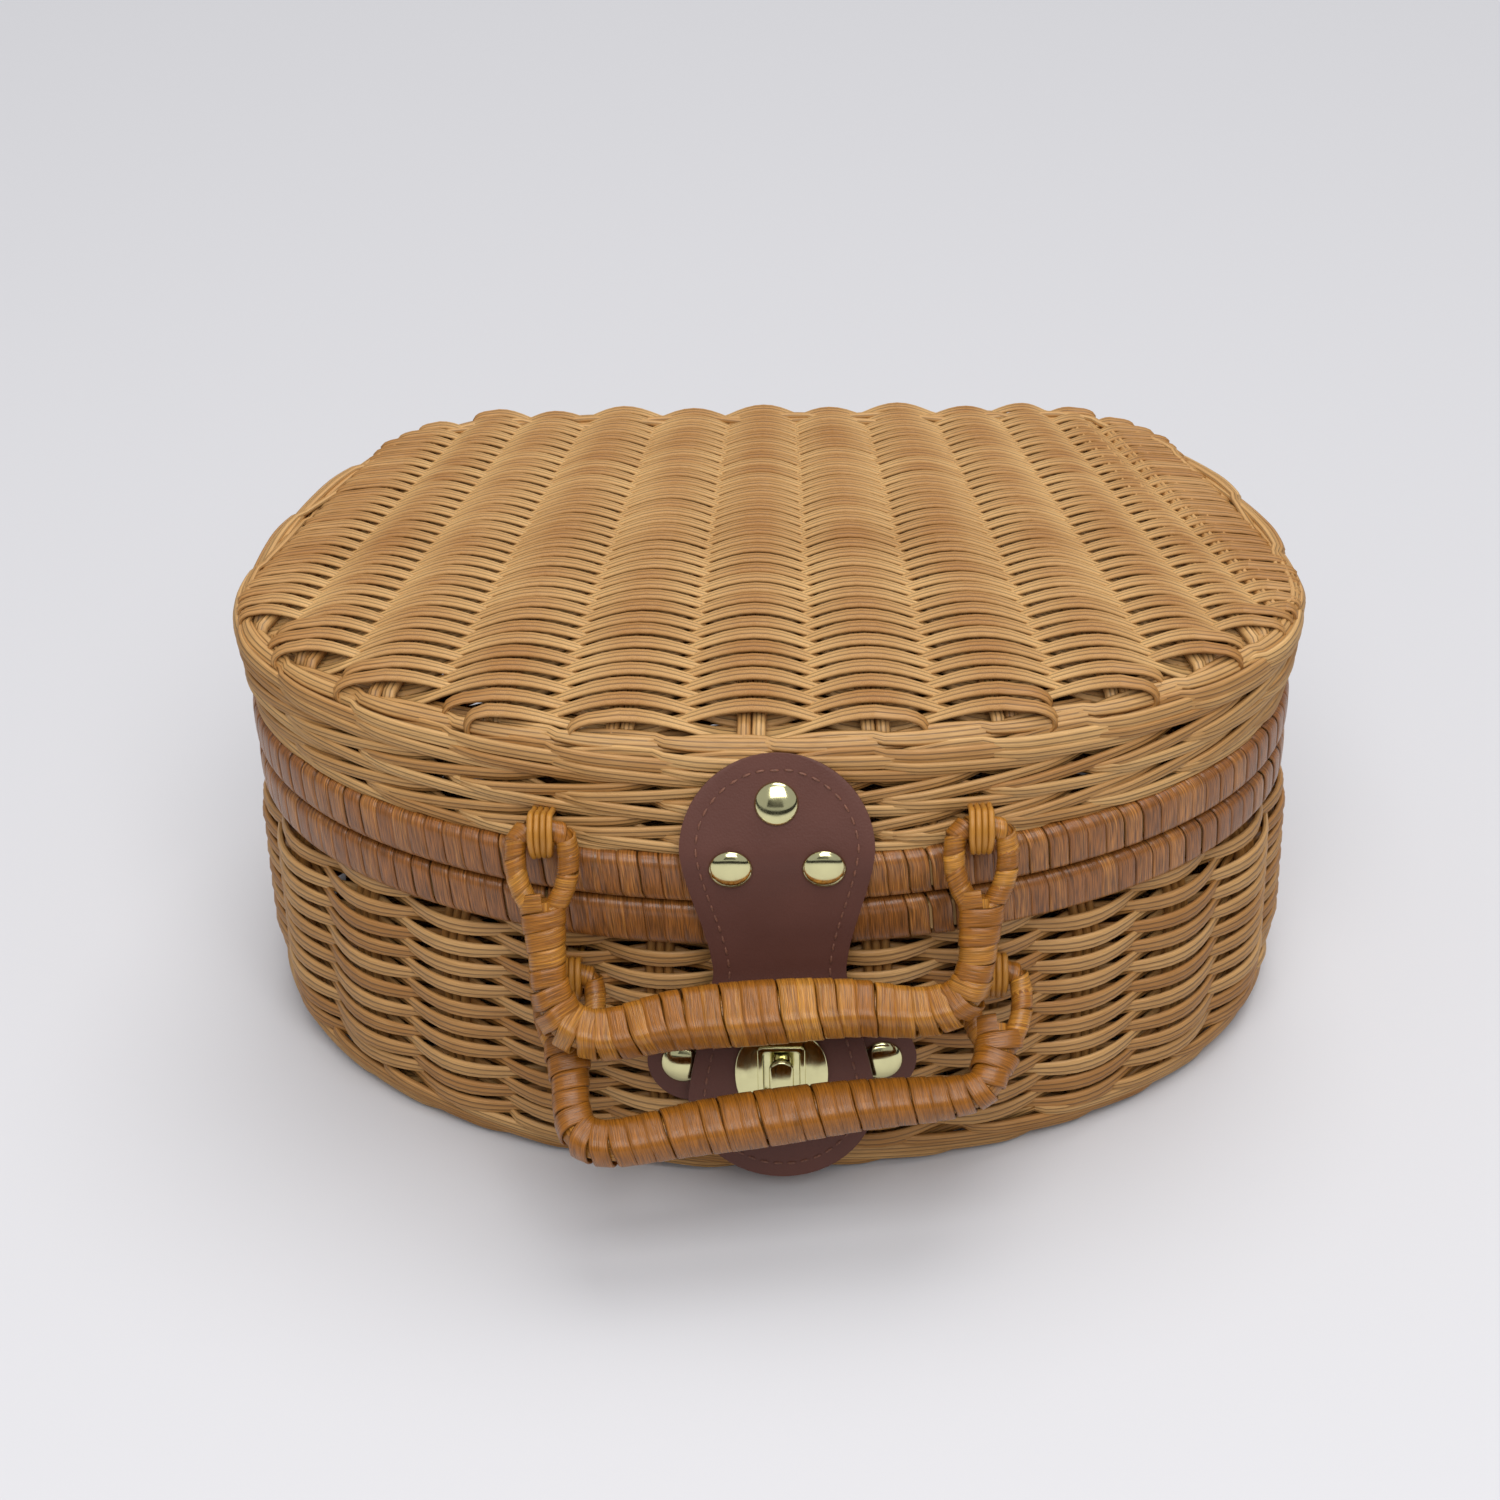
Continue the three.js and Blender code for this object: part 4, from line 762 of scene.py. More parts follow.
def weave_round(strands, levels, stakes, heights, over, under, swing, drop=0.0, lap=0.0, crossing=0.75,
                inner=0.0, rise=0.0, samples=8, plain=False, spread=0.4):
    """Rows of strands round a wall. Each goes over some stakes and under others. While it is outside
    it slants by drop, up in one row and down in the next, and sinks inwards by lap under the strand
    that comes out after it. crossing is its width where it passes through the wall, and inner how much
    wider it is inside. rise turns its flat side upwards."""
    period = over + under
    k = np.arange(stakes * samples) / samples
    for row, height in enumerate(heights):
        for phase in ([row % 2] if plain else range(period)):
            near = np.floor(k)
            ease = half_wave(k - near)
            outside = [np.where(np.mod(stake - phase, period) < over, 1.0, -1.0) for stake in (near, near + 1)]
            side = outside[0] * (1 - ease) + outside[1] * ease
            run = np.mod(k - phase + 0.5, period)
            slant = np.where(run < over, 0.5 - run / over, -0.5 + (run - over) / under)
            share = k / stakes
            z = height + (-1) ** row * drop * slant + wobble(strands.random, share, spread)
            out = side * swing * (0.94 + 0.12 * strands.random.random()) + lap * slant * (side > 0)
            points, facing = skin(levels, share, z, out)
            facing = facing + (0, 0, rise)
            scale = crossing + (1 - crossing) * np.abs(side) + inner * (side < 0) * side ** 2
            scale += wobble(strands.random, share, 0.04)
            strands.add(points, facing, scale, closed=True)


def upright(strands, levels, stakes, low, high, spread, count):
    """Bundles of stakes that stand in a wall, near its middle, with painted shade that makes them darker than
    the strands over them.
    """
    for stake in range(stakes):
        for twin in range(count):
            z = np.linspace(low, high, 12)
            share = np.full(12, (stake + (twin - (count - 1) / 2) * spread) / stakes)
            points, facing = skin(levels, share, z, -0.4)
            # Painted shade: the stakes behind the weavers get a dark tone
            strands.add(points, facing, tone=0.8)


def wind(strands, path, facing, half, turn, strip, closed=False, power=2.2, around_steps=16, jitter=0.05):
    """A strip wound round a path. half is the section's half thickness and half width at each point;
    turn is the width of one turn, and strip its thickness."""
    path, facing = np.asarray(path, float), np.asarray(facing, float)
    if closed:
        path, facing = (np.concatenate([line, line[:1]]) for line in (path, facing))
    half = np.broadcast_to(np.asarray(half, float), (len(path), 2))
    reach = run_length(path)
    turns = max(2, round(reach[-1] / turn))
    q = np.arange(turns * around_steps + (0 if closed else 1)) / around_steps
    s = q / turns * reach[-1] + turn * wobble(strands.random, q / turns * 7, jitter) * (1 if closed else 0)
    s += 0 if closed else turn * jitter * np.sin(q * 2.4) * np.sin(np.pi * q / turns)
    s = np.mod(s, reach[-1]) if closed else np.clip(s, 0, reach[-1])
    tangent = np.gradient(path, axis=0)
    if closed:
        tangent[0] = tangent[-1] = path[1] - path[-2]
    across = np.cross(unit(tangent), facing)
    place, out, side = (trace(s, reach, line) for line in (path, facing, across))
    a, b = (trace(s, reach, half) - strip / 2).T
    power = np.interp(s, reach, np.broadcast_to(power, len(path)))
    angle = 2 * np.pi * q
    c, n = np.cos(angle), np.sin(angle)
    x, y = a * signed_power(c, 2 / power), b * signed_power(n, 2 / power)
    normal_x, normal_y = (signed_power(part, 2 - 2 / power) / size for part, size in ((c, a), (n, b)))
    normal = out * normal_x[:, None] + side * normal_y[:, None]
    tones = 0.25 + 0.5 * strands.random.random(turns + 2)
    strands.add(place + out * x[:, None] + side * y[:, None], normal,
                tone=tones[np.floor(q + 0.5).astype(int)], closed=closed)


# Woven pieces

def crown_height(x, y):
    """Height of the lid top's middle surface."""
    width = 160
    depth = np.where(y < 0, LID_TOP_PLAN[1], BACK_DEPTH)
    reach = np.clip(np.maximum(np.hypot(x / width, y / depth), y / BACK_Y), 0, 1)
    return LID_MIDDLE_Z + CROWN * (1 - reach ** 2)


def ring_half_width(ring, y):
    """Half the width of a ring at a place from front to back."""
    half = ring[len(ring) // 2:]
    half = half[half[:, 0] > 0]
    order = np.argsort(half[:, 1])
    return float(np.interp(y, half[order, 1], half[order, 0]))


def lid_reach(y, inset):
    """Half the width of the lid top at a place from front to back."""
    return ring_half_width(level_ring(*LID_TOP_PLAN, 0.5 + inset), y)


def flat_weave(strands, ys, reach, stakes, height, swing, samples=8):
    """Weavers across a flat woven panel, over and under its stakes. Each turns round the last stake
    it goes over and comes back under it."""
    steps = np.abs(np.gradient(ys))
    for row, (y, step) in enumerate(zip(ys, steps)):
        edge = reach(y)
        inside = [(number, place) for number, place in enumerate(stakes(y)) if abs(place) < edge - 3]
        if len(inside) < 3:
            continue
        places = [place for _, place in inside]
        over = np.array([1.0 if (number + row) % 2 else -1.0 for number, _ in inside])
        k = np.linspace(0, len(inside) - 1, (len(inside) - 1) * samples + 1)
        near = np.floor(k).astype(int)
        far = np.minimum(near + 1, len(inside) - 1)
        ease = half_wave(k - near)
        side = over[near] * (1 - ease) + over[far] * ease
        x = np.interp(k, np.arange(len(inside)), places)
        apart = np.interp(k, np.arange(len(inside)), np.clip(np.gradient(places) / 28, 0.5, 1.0))
        here = y + wobble(strands.random, x / 330 + 0.5, 0.2)
        grown = step / steps.mean()
        lift = swing * (0.96 + 0.08 * strands.random.random()) * (0.8 + 0.2 * grown)
        points = np.column_stack([x, here, height(x, here) + side * lift * apart])
        facing = np.tile((0.0, 0.0, 1.0), (len(k), 1))
        scale = (0.8 + 0.2 * np.abs(side) + 0.2 * (side < 0) * side ** 2) * grown ** 0.8
        # Painted shade: a weaver is darker where it passes over a stake, on top of its random tone
        tone = 0.1 + 0.3 * strands.random.random() + 0.5 * np.clip(side, 0, 1) ** 2
        for end, way in ((0, -1), (-1, 1)):
            if over[end] < 0:
                continue
            width = min(edge - 0.5 - abs(places[end]), 14 if row > 2 else 8)
            angle = np.linspace(0, np.pi, 12)[2:]
            c, n = np.cos(angle), np.sin(angle)
            loop_x = places[end] + way * width * n ** 0.8
            loop_y = here[end] - step * angle / np.pi
            rise = lift * apart[end] * signed_power(c, 0.8)
            loop = np.column_stack([loop_x, loop_y, height(loop_x, loop_y) + rise])
            looks = np.column_stack([way * n, np.zeros(len(c)), c])
            sizes = np.full(len(c), scale[end] * 0.9)
            tones = np.full(len(c), tone[end])
            order = slice(None, None, way)
            pieces = [(loop[order], points), (looks[order], facing), (sizes, scale), (tones, tone)]
            points, facing, scale, tone = (np.concatenate(pair[::-way]) for pair in pieces)
        strands.add(points, facing, scale, tone)


class BASKET_OT_lid_top(bpy.types.Operator):
    """Weave the lid top: ribbed weavers over stakes that fan out to the front"""
    bl_idname = "basket.lid_top"
    bl_label = "Lid Top"

    def execute(self, context):
        sizes = context.scene.basket_weave
        # The rows are packed tightest at the back
        row = np.linspace(0, 1, sizes.lid_rows)
        place = (row + 0.15 * row ** 4) / 1.15
        weavers = Strands(1)
        first, last = BACK_Y - 2.5, -63
        # Towards the front the rows stop up to 5 mm short of the edge
        flat_weave(weavers, first - place * (first - last),
                   lambda y: lid_reach(y, 5 * min(1, max(0, (30 - y) / 60))),
                   lambda y: [place * (STAKE_FAN_Y - y) / (STAKE_FAN_Y + 8) for place in LID_STAKES],
                   crown_height, sizes.lid_swing / MM)
        top = ribbed(weavers, "lid_top_weavers", sizes.lid_weaver / MM, 2.0)
        stakes = Strands(2)
        for place in LID_STAKES:
            for twin in (-2.1, 2.1):
                y = np.linspace(BACK_Y - 1, -76, 60)
                x = place * (STAKE_FAN_Y - y) / (STAKE_FAN_Y + 8) + twin
                keep = np.abs(x) < np.array([lid_reach(here, 8.0) for here in y])
                x, y = x[keep], y[keep]
                z = crown_height(x, y)
                # Each stake bends down into the border at its front end
                onward, dive = np.array([1.2, 1.6, 1.6]), np.array([1.4, 3.6, 6.4])
                outward = np.array([x[-1] - x[-2], y[-1] - y[-2]])
                outward /= np.linalg.norm(outward)
                points = np.column_stack([x, y, z])
                tail = np.column_stack([x[-1] + outward[0] * onward, y[-1] + outward[1] * onward, z[-1] - dive])
                stakes.add(np.concatenate([points, tail]), (0, 0, 1))
        rods = ribbed(stakes, "lid_top_stakes", 4.1, 4.4, 0.25)
        settle(top, ("lid_top",), "lid")
        settle(rods, body="lid")
        return {"FINISHED"}


class BASKET_OT_lid_wall(bpy.types.Operator):
    """Weave the lid wall in slanting rounds, with a thicker round as its top border"""
    bl_idname = "basket.lid_wall"
    bl_label = "Lid Wall"

    def execute(self, context):
        stakes = context.scene.basket_weave.wale_stakes
        rounds = Strands(3)
        weave_round(rounds, LID_LEVELS, stakes, np.linspace(115.2, 133.6, 5), over=2, under=1, swing=2.3,
                    drop=4.6, lap=2.6, samples=10, spread=0.6)
        wall = ribbed(rounds, "lid_wall_weave", 4.2, 2.6)
        rods = Strands(4)
        upright(rods, LID_LEVELS, stakes, 112, 137, spread=0.14, count=2)
        inner = sweep(rods, "lid_wall_stakes", round_willow(), 2.8, 2.2, sides=8)
        border = Strands(5)
        weave_round(border, LID_LEVELS, stakes, (137.2,), over=2, under=1, swing=1.9, drop=3.4, lap=2.4,
                    rise=0.3, samples=10)
        for levels in LID_INNER_LEVELS:
            weave_round(border, levels, stakes - 1, (136.6,), over=1, under=1, swing=1.6, rise=2.0, plain=True)
        weave_round(border, LID_EDGE_LEVELS, stakes, (LID_MIDDLE_Z,), over=2, under=1, swing=1.2, drop=2.4,
                    lap=2.6, rise=1.2, samples=10)
        top = ribbed(border, "lid_border_weave", 4.6, 2.6)
        settle(wall, ("lid_wall",), "lid")
        settle(inner, body="lid")
        settle(top, ("lid_top_border",), "lid")
        return {"FINISHED"}


class BASKET_OT_base_wall(bpy.types.Operator):
    """Weave the base wall, one over and one under round bundles of stakes"""
    bl_idname = "basket.base_wall"
    bl_label = "Base Wall"

    def execute(self, context):
        sizes = context.scene.basket_weave
        # Painted shade darkens the whole base wall, which stands in less light than the lid
        rows = Strands(6, shade=0.18)
        heights = np.arange(13.5, 81, sizes.wall_row / MM)
        weave_round(rows, BASE_LEVELS, sizes.wall_stakes, heights, over=1, under=1, swing=3.4, plain=True,
                    crossing=0.78, inner=0.35, spread=0.3)
        wall = ribbed(rows, "base_wall_weave", sizes.wall_weaver / MM, 2.6)
        rods = Strands(7)
        upright(rods, BASE_LEVELS, sizes.wall_stakes, 4, 84, spread=0.085, count=3)
        inner = sweep(rods, "base_wall_stakes", round_willow(), 2.9, 3.6, sides=8)
        settle(wall, ("base_wall",), "base")
        settle(inner, body="base")
        return {"FINISHED"}


class BASKET_OT_foot(bpy.types.Operator):
    """Weave the foot border in thick slanting strands, and the floor behind it"""
    bl_idname = "basket.foot"
    bl_label = "Foot and Floor"

    def execute(self, context):
        # Painted shade darkens the foot, as it does the base wall
        rounds = Strands(8, shade=0.18)
        weave_round(rounds, BASE_LEVELS, context.scene.basket_weave.foot_stakes, (7.2,), over=3, under=1,
                    swing=1.8, drop=9.4, lap=3.0)
        foot = ribbed(rounds, "foot_weave", 4.2, 3.0, 0.35)
        low, high = (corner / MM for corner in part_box("base_floor"))
        middle, front, back = (low.z + high.z) / 2, low.y - PLAN_SHIFT, high.y - PLAN_SHIFT
        ring = level_ring(*FOOT_PLAN, 9)
        floor = Strands(9)
        flat_weave(floor, np.linspace(back - 4, front + 12, 46), lambda y: ring_half_width(ring, y),
                   lambda y: FLOOR_STAKES, lambda x, y: np.full(np.shape(x), middle), 1.7)
        for x in FLOOR_STAKES:
            reach = front * math.sqrt(1 - (x / 152) ** 2)
            deep = min(back - 2, math.sqrt(max(0, 1 - (x / 152) ** 2)) * (BACK_DEPTH - 9))
            for twin in (-1.7, 1.7):
                y = np.linspace(reach + 2, deep, 30)
                floor.add(np.column_stack([np.full(30, x + twin), y, np.full(30, middle)]), (0, 0, 1), 0.75)
        for levels in FLOOR_EDGE_LEVELS:
            weave_round(floor, levels, 40, (middle - 0.5,), over=1, under=1, swing=1.2, rise=3.0, plain=True)
        panel = ribbed(floor, "base_floor_weave", 4.8, 2.4, 0.3, sides=8)
        settle(foot, ("foot_border",), "base")
        settle(panel, ("base_floor",), "base")
        return {"FINISHED"}


# Wound pieces

def wound(strands, name, material, width, core=None):
    """A wound strip with the round core that closes the gaps where it fans out."""
    sizes = bpy.context.scene.basket_winding
    made = flat_strip(strands, name, material, width, sizes.strip / MM)
    if not core:
        return made
    inner = sweep(core, f"{name}_core", material, 2, 2, sides=12)
    return join_pieces(name, [made, inner])


class BASKET_OT_rims(bpy.types.Operator):
    """Wind flat strip round the rim of the base and the rim of the lid"""
    bl_idname = "basket.rims"
    bl_label = "Rims"

    def execute(self, context):
        turn = context.scene.basket_winding.rim_turn / MM
        strip = context.scene.basket_winding.strip / MM
        share = np.linspace(0, 1, 900, endpoint=False)
        for number, (body, z) in enumerate((("base", BASE_RIM_Z), ("lid", LID_RIM_Z))):
            plan, facing = around(RIM_RING, share)
            path = np.column_stack([plan, np.full(len(plan), float(z))])
            outward = np.column_stack([facing, np.zeros(len(plan))])
            strands = Strands(10 + number)
            wind(strands, path, outward, (RIM_INSIDE, RIM_HALF_HEIGHT), turn, strip, closed=True,
                 power=4.4, around_steps=28, jitter=0.2)
            piece = wound(strands, f"{body}_rim_winding", rim_strip(), turn * 1.05)
            settle(piece, (f"{body}_rim_strip",), body)
        return {"FINISHED"}


def handle_frame(handle):
    """The turn and the place that carry a handle's own frame, which hangs from its swing axis, to the plan."""
    turn = Matrix.Rotation(-math.radians(handle["tilt"]), 3, "X")
    return np.array(turn), np.array((handle["x"], handle["y"], handle["z"]), float)


def handle_path(handle):
    """The middle line of a handle from eye to eye, in its own frame."""
    deep = handle["reach"] + handle["bow"]
    corner = handle["corner"]
    sides = []
    for side in (-1, 1):
        drop = deep - side * handle["lean"]
        half = [(side * EYE_SPREAD, -EYE_LENGTH + handle["overlap"]), (side * EYE_SPREAD, -EYE_LENGTH),
                (side * (EYE_SPREAD + HANDLE_CORNER_X) / 2, -(EYE_LENGTH + drop - corner) / 2),
                (side * HANDLE_CORNER_X, -(drop - corner)),
                (side * (HANDLE_CORNER_X - corner * 0.29), -(drop - corner * 0.29)),
                (side * (HANDLE_CORNER_X - corner), -drop),
                (side * HANDLE_CORNER_X * 0.4, -(drop + handle["reach"]) / 2 + handle["bow"] * 0.35)]
        sides.append(half if side < 0 else half[::-1])
    points = [*sides[0], (0, -handle["reach"]), *sides[1]]
    return centripetal([(x, 0, z) for x, z in points])


class BASKET_OT_handles(bpy.types.Operator):
    """Wind strip round both handles and their eyes"""
    bl_idname = "basket.handles"
    bl_label = "Handles"

    def execute(self, context):
        sizes = context.scene.basket_winding
        strip = sizes.strip / MM
        for number, (name, handle) in enumerate(HANDLES.items()):
            turn, origin = handle_frame(handle)
            path = handle_path(handle)
            reach = run_length(path)
            keep = (reach > 0.5) & (reach < reach[-1] - 0.5)
            path, share = path[keep], reach[keep] / reach[-1]
            to_end = np.minimum(share, 1 - share) * reach[-1]
            flat = smooth_step(1 - to_end / 14)
            middle = smooth_step(1 - np.abs(share - 0.5) / 0.32)
            shoulder = smooth_step(1 - to_end / 22)
            bar = smooth_step((to_end - 14) / 26)
            deep = 5.4 + 0.7 * bar + 0.9 * middle - 1.3 * flat
            wide = 5.1 + 0.9 * bar + handle["swell"] * middle + handle["shoulder"] * shoulder
            # The bar's section is a rounded square with one edge forwards and up, and the arms are oval
            tangent = unit(np.gradient(path, axis=0))
            rolled = math.radians(handle["roll"]) * bar
            level = np.tile((0.0, -1.0, 0.0), (len(path), 1))
            facing = level * np.cos(rolled)[:, None] + np.cross(level, tangent) * np.sin(rolled)[:, None]
            body = f"{name}_handle"
            # Painted shadow: the lower handle's strip is darkened for the shadow of the upper handle on it
            strands, core = Strands(20 + number, shade=0.5 * number), Strands(30 + number)
            wind(strands, path @ turn.T + origin, facing @ turn.T, np.column_stack([deep, wide]),
                 sizes.grip_turn / MM, strip, jitter=0.07, around_steps=28, power=2.5 + handle["square"] * bar)
            core.add(path @ turn.T + origin, facing @ turn.T, np.minimum(deep, wide) - 0.7)
            piece = wound(strands, f"{body}_winding", grip_strip(), sizes.grip_turn / MM * 1.06, core)
            settle(piece, (f"{body}_wrap",), body)
            for side, word in ((-1, "left"), (1, "right")):
                w, h = EYE_HALF_WIDTH, EYE_LENGTH
                loop = centripetal([(x + side * EYE_SPREAD, 0, z) for x, z in (
                    (0, 0), (w * 0.8, -h * 0.06), (w, -h * 0.38), (w * 0.7, -h * 0.75), (0, -h),
                    (-w * 0.7, -h * 0.75), (-w, -h * 0.38), (-w * 0.8, -h * 0.06))], closed=True)
                front = np.tile((0.0, -1.0, 0.0), (len(loop), 1))
                eye, rod = Strands(40 + number * 2 + (side > 0)), Strands(50)
                wind(eye, loop @ turn.T + origin, front @ turn.T, (3.1, 3.1), sizes.eye_turn / MM, 1.0,
                     closed=True, around_steps=12, jitter=0.1)
                rod.add(loop @ turn.T + origin, front @ turn.T, 2.6, closed=True)
                ring = wound(eye, f"{body}_eye_{word}_winding", grip_strip(), sizes.eye_turn / MM * 1.2, rod)
                settle(ring, (f"{body}_eye_{word}",), body)
        return {"FINISHED"}


class BASKET_OT_ties(bpy.types.Operator):
    """Tie each handle eye to its wall with loops of round golden cane"""
    bl_idname = "basket.ties"
    bl_label = "Handle Ties"

    def execute(self, context):
        for number, (name, handle) in enumerate(HANDLES.items()):
            for side, word in ((-1, "left"), (1, "right")):
                node = f"{name}_handle_tie_{word}"
                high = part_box(node)[1] / MM
                back = high.y - PLAN_SHIFT - 1.0 - handle["y"]
                strands = Strands(60 + number * 2 + (side > 0))
                for strand in range(4):
                    # Each strand goes over the eye's bar, and behind the wall from below it to above it
                    arc = np.linspace(np.pi / 2, 3 * np.pi / 2, 9)
                    grown = TIE_RADIUS + strands.random.random() * 0.3
                    over = np.column_stack([grown * np.cos(arc), 1.15 * grown * np.sin(arc) - 1.2])
                    behind = [(back * 0.45, -7.2), (back, -6.2), (back + 0.4, -4.6), (back, -3),
                              (back * 0.45, -0.4)]
                    loop = centripetal([(0, y, z) for y, z in (*over, *behind)], closed=True, steps=4)
                    # The strands draw together below the bar
                    x = (strand - 1.5) * (1.75 - 0.3 * np.clip(-loop[:, 2] / grown, 0, 1))
                    away = loop * (0, 1, 1) - (0, 1, 0)
                    loop = loop + (handle["x"] + side * EYE_SPREAD, handle["y"], handle["z"])
                    loop[:, 0] += x
                    strands.add(loop, away, 0.95 + 0.1 * strands.random.random(), closed=True)
                piece = sweep(strands, f"{node}_loops", tie_cane(), 1.9, 1.9, sides=10)
                settle(piece, (node,), handle["wall"])
        return {"FINISHED"}


class BASKET_OT_hinges(bpy.types.Operator):
    """Bind the rims together at the back with flat strip that crosses over the seam"""
    bl_idname = "basket.hinges"
    bl_label = "Hinge Bindings"

    def execute(self, context):
        number = 70
        for x, word in ((-HINGE_X, "left"), (HINGE_X, "right")):
            for body, z in (("base", BASE_RIM_Z), ("lid", LID_RIM_Z)):
                strands = Strands(number)
                number += 1
                for strip in range(4):
                    angle = np.linspace(0, 2 * np.pi, 40, endpoint=False)
                    c, n = np.cos(angle), np.sin(angle)
                    y = BACK_Y - RIM_INSIDE + BINDING_HALF_DEPTH * signed_power(c, 0.4)
                    up = z + BINDING_HALF_HEIGHT * signed_power(n, 0.4)
                    loop = np.column_stack([np.full(40, x + (strip - 1.5) * BINDING_STRIP), y, up])
                    normal = np.column_stack([np.zeros(40), signed_power(c, 1.6), signed_power(n, 1.6)])
                    strands.add(loop, normal, closed=True)
                node = f"hinge_binding_{body}_{word}"
                piece = flat_strip(strands, f"{node}_strips", rim_strip(), BINDING_STRIP, 1.2)
                settle(piece, (node,), body)
            cross = Strands(number)
            number += 1
            for slant in (-1, 1):
                t = np.linspace(0, 1, 14)
                out = BACK_Y + 1.6 + 0.5 * np.sin(np.pi * t) * (slant > 0)
                up = CROSSING_LOW + CROSSING_HEIGHT * t
                cross.add(np.column_stack([x + slant * 4.2 * (1 - 2 * t), out, up]), (0, 1, 0))
            strips = flat_strip(cross, f"hinge_crossing_{word}", rim_strip(), 3.4, 1.1)
            y = (BACK_Y + PLAN_SHIFT) * MM
            settle(strips,
                   blend=("base", "lid", (0, y, (SEAM_Z - 4) * MM), (0, y, (SEAM_Z + 4) * MM)))
        return {"FINISHED"}


# Leather

def bent_line(points, softness=4.0):
    """A bent line with its corners eased, as evenly spaced points."""
    points = np.asarray(points, float)
    reach = run_length(points)
    s = np.linspace(0, reach[-1], int(reach[-1] * 2))
    line = trace(s, reach, points)
    window = np.arange(-int(softness * 2), int(softness * 2) + 1)
    weight = np.cos(window / (softness * 4 + 2) * np.pi)
    extra = len(window) - 1
    padded = np.concatenate([2 * line[:1] - line[extra:0:-1], line, 2 * line[-1:] - line[-2:-extra - 2:-1]])
    smooth = np.stack([np.convolve(padded[:, axis], weight / weight.sum(), "same") for axis in (0, 1)], 1)
    return s, smooth[extra:-extra]


STRAP_S, STRAP_CURVE = bent_line(STRAP_LINE)
STRAP_LENGTH = STRAP_S[-1]


def strap_distance(z):
    """The distance from the strap's top end at a height."""
    return float(STRAP_S[np.argmin(np.abs(STRAP_CURVE[:, 1] - z))])


def strap_half(distance):
    """Half the strap's width, by the distance from its top end."""
    near = np.minimum(distance, STRAP_LENGTH - distance)
    lobe = np.sqrt(np.clip(STRAP_LOBE ** 2 - (STRAP_LOBE - near) ** 2, 0, None))
    share = np.clip((near - STRAP_LOBE) / (STRAP_LENGTH / 2 - STRAP_LOBE), 0, 1)
    waist = STRAP_LOBE + (STRAP_NECK - STRAP_LOBE) * (share + smooth_step(share)) / 2
    return np.where(near < STRAP_LOBE, lobe, waist)


def strap_place(x, distance, lift=0.0):
    """A point of the strap and the way it faces, lifted off its middle surface."""
    y, z = (np.interp(distance, STRAP_S, STRAP_CURVE[:, axis]) for axis in (0, 1))
    step = np.gradient(STRAP_CURVE, axis=0)
    dy, dz = (np.interp(distance, STRAP_S, step[:, axis]) for axis in (0, 1))
    size = np.hypot(dy, dz)
    normal = np.stack([np.zeros_like(y), dz / size, -dy / size], -1)
    point = np.stack([np.asarray(x) + STRAP_X, y, z], -1)
    if np.ndim(lift):
        lift = np.reshape(lift, (-1, 1))
    return point + normal * lift, normal


def lock_place(x, out, z):
    """A point in the frame of the lock, out being how far in front of the wall's face."""
    x, out, z = np.broadcast_arrays(x, out, z)
    c, s = math.cos(LOCK_LEAN), math.sin(LOCK_LEAN)
    return np.stack([x + STRAP_X, LOCK_Y - out * c + z * s, LOCK_Z + out * s + z * c], -1)


def wall_fallback(x):
    """How far the curved wall falls back behind the lock's plane."""
    return -LOCK_Y * (1 - np.sqrt(1 - ((np.asarray(x) + STRAP_X) / LOCK_WALL_HALF_WIDTH) ** 2))


def leather_piece(name, rows, thickness, hole=(0, 0, 0, 0)):
    """A sheet of leather over rows of points, thickened and with its edges rounded.
    hole is the first and last row and the first and last column of a slot in it."""
    wide = len(rows[0])
    faces = [(r * wide + c, r * wide + c + 1, (r + 1) * wide + c + 1, (r + 1) * wide + c)
             for r in range(len(rows) - 1) for c in range(wide - 1)
             if not (hole[0] <= r < hole[1] and hole[2] <= c < hole[3])]
    mesh = bpy.data.meshes.new(name)
    mesh.from_pydata([tuple(point) for row in rows for point in to_frame(row)], [], faces)
    clean_mesh(mesh, 0.04 * MM)
    made = link_object(name, mesh)
    made.data.materials.append(leather())
    thick = made.modifiers.new("Thickness", "SOLIDIFY")
    thick.thickness, thick.offset = thickness, 0
    edge = made.modifiers.new("Edge", "BEVEL")
    edge.width, edge.segments, edge.limit_method, edge.angle_limit = 0.0005, 2, "ANGLE", math.radians(50)
    shaped = evaluated_mesh(made, preserve_all_data_layers=True)
    made.modifiers.clear()
    made.data = shaped
    shaped.name = name
    for face in shaped.polygons:
        face.use_smooth = True
    clean_mesh(made.data)
    return made


def stitch_tree():
    """Sets a small stitch along a line at every pitch."""
    tree, given = open_tree("Stitches", {"Pitch": "Float", "Length": "Float", "Thread": "Float"})
    curve = add_node(tree, "GeometryNodeMeshToCurve", given["Geometry"])
    spaced = add_node(tree, "GeometryNodeResampleCurve", curve.outputs[0], mode="LENGTH",
                      named={"Length": given["Pitch"]})
    facing = named_field(tree, "facing", "FLOAT_VECTOR")
    along = add_node(tree, "GeometryNodeInputTangent")
    turned = add_node(tree, "FunctionNodeAxesToRotation", along.outputs[0], facing,
                      primary_axis="X", secondary_axis="Z")
    ball = add_node(tree, "GeometryNodeMeshUVSphere", 8, 6, 0.5)
    size = add_node(tree, "ShaderNodeCombineXYZ", given["Length"], given["Thread"], given["Thread"])
    thread = add_node(tree, "GeometryNodeTransform", ball.outputs[0], named={"Scale": size.outputs[0]})
    close_tree(tree, placed(tree, spaced, thread, turned), given)
    return tree


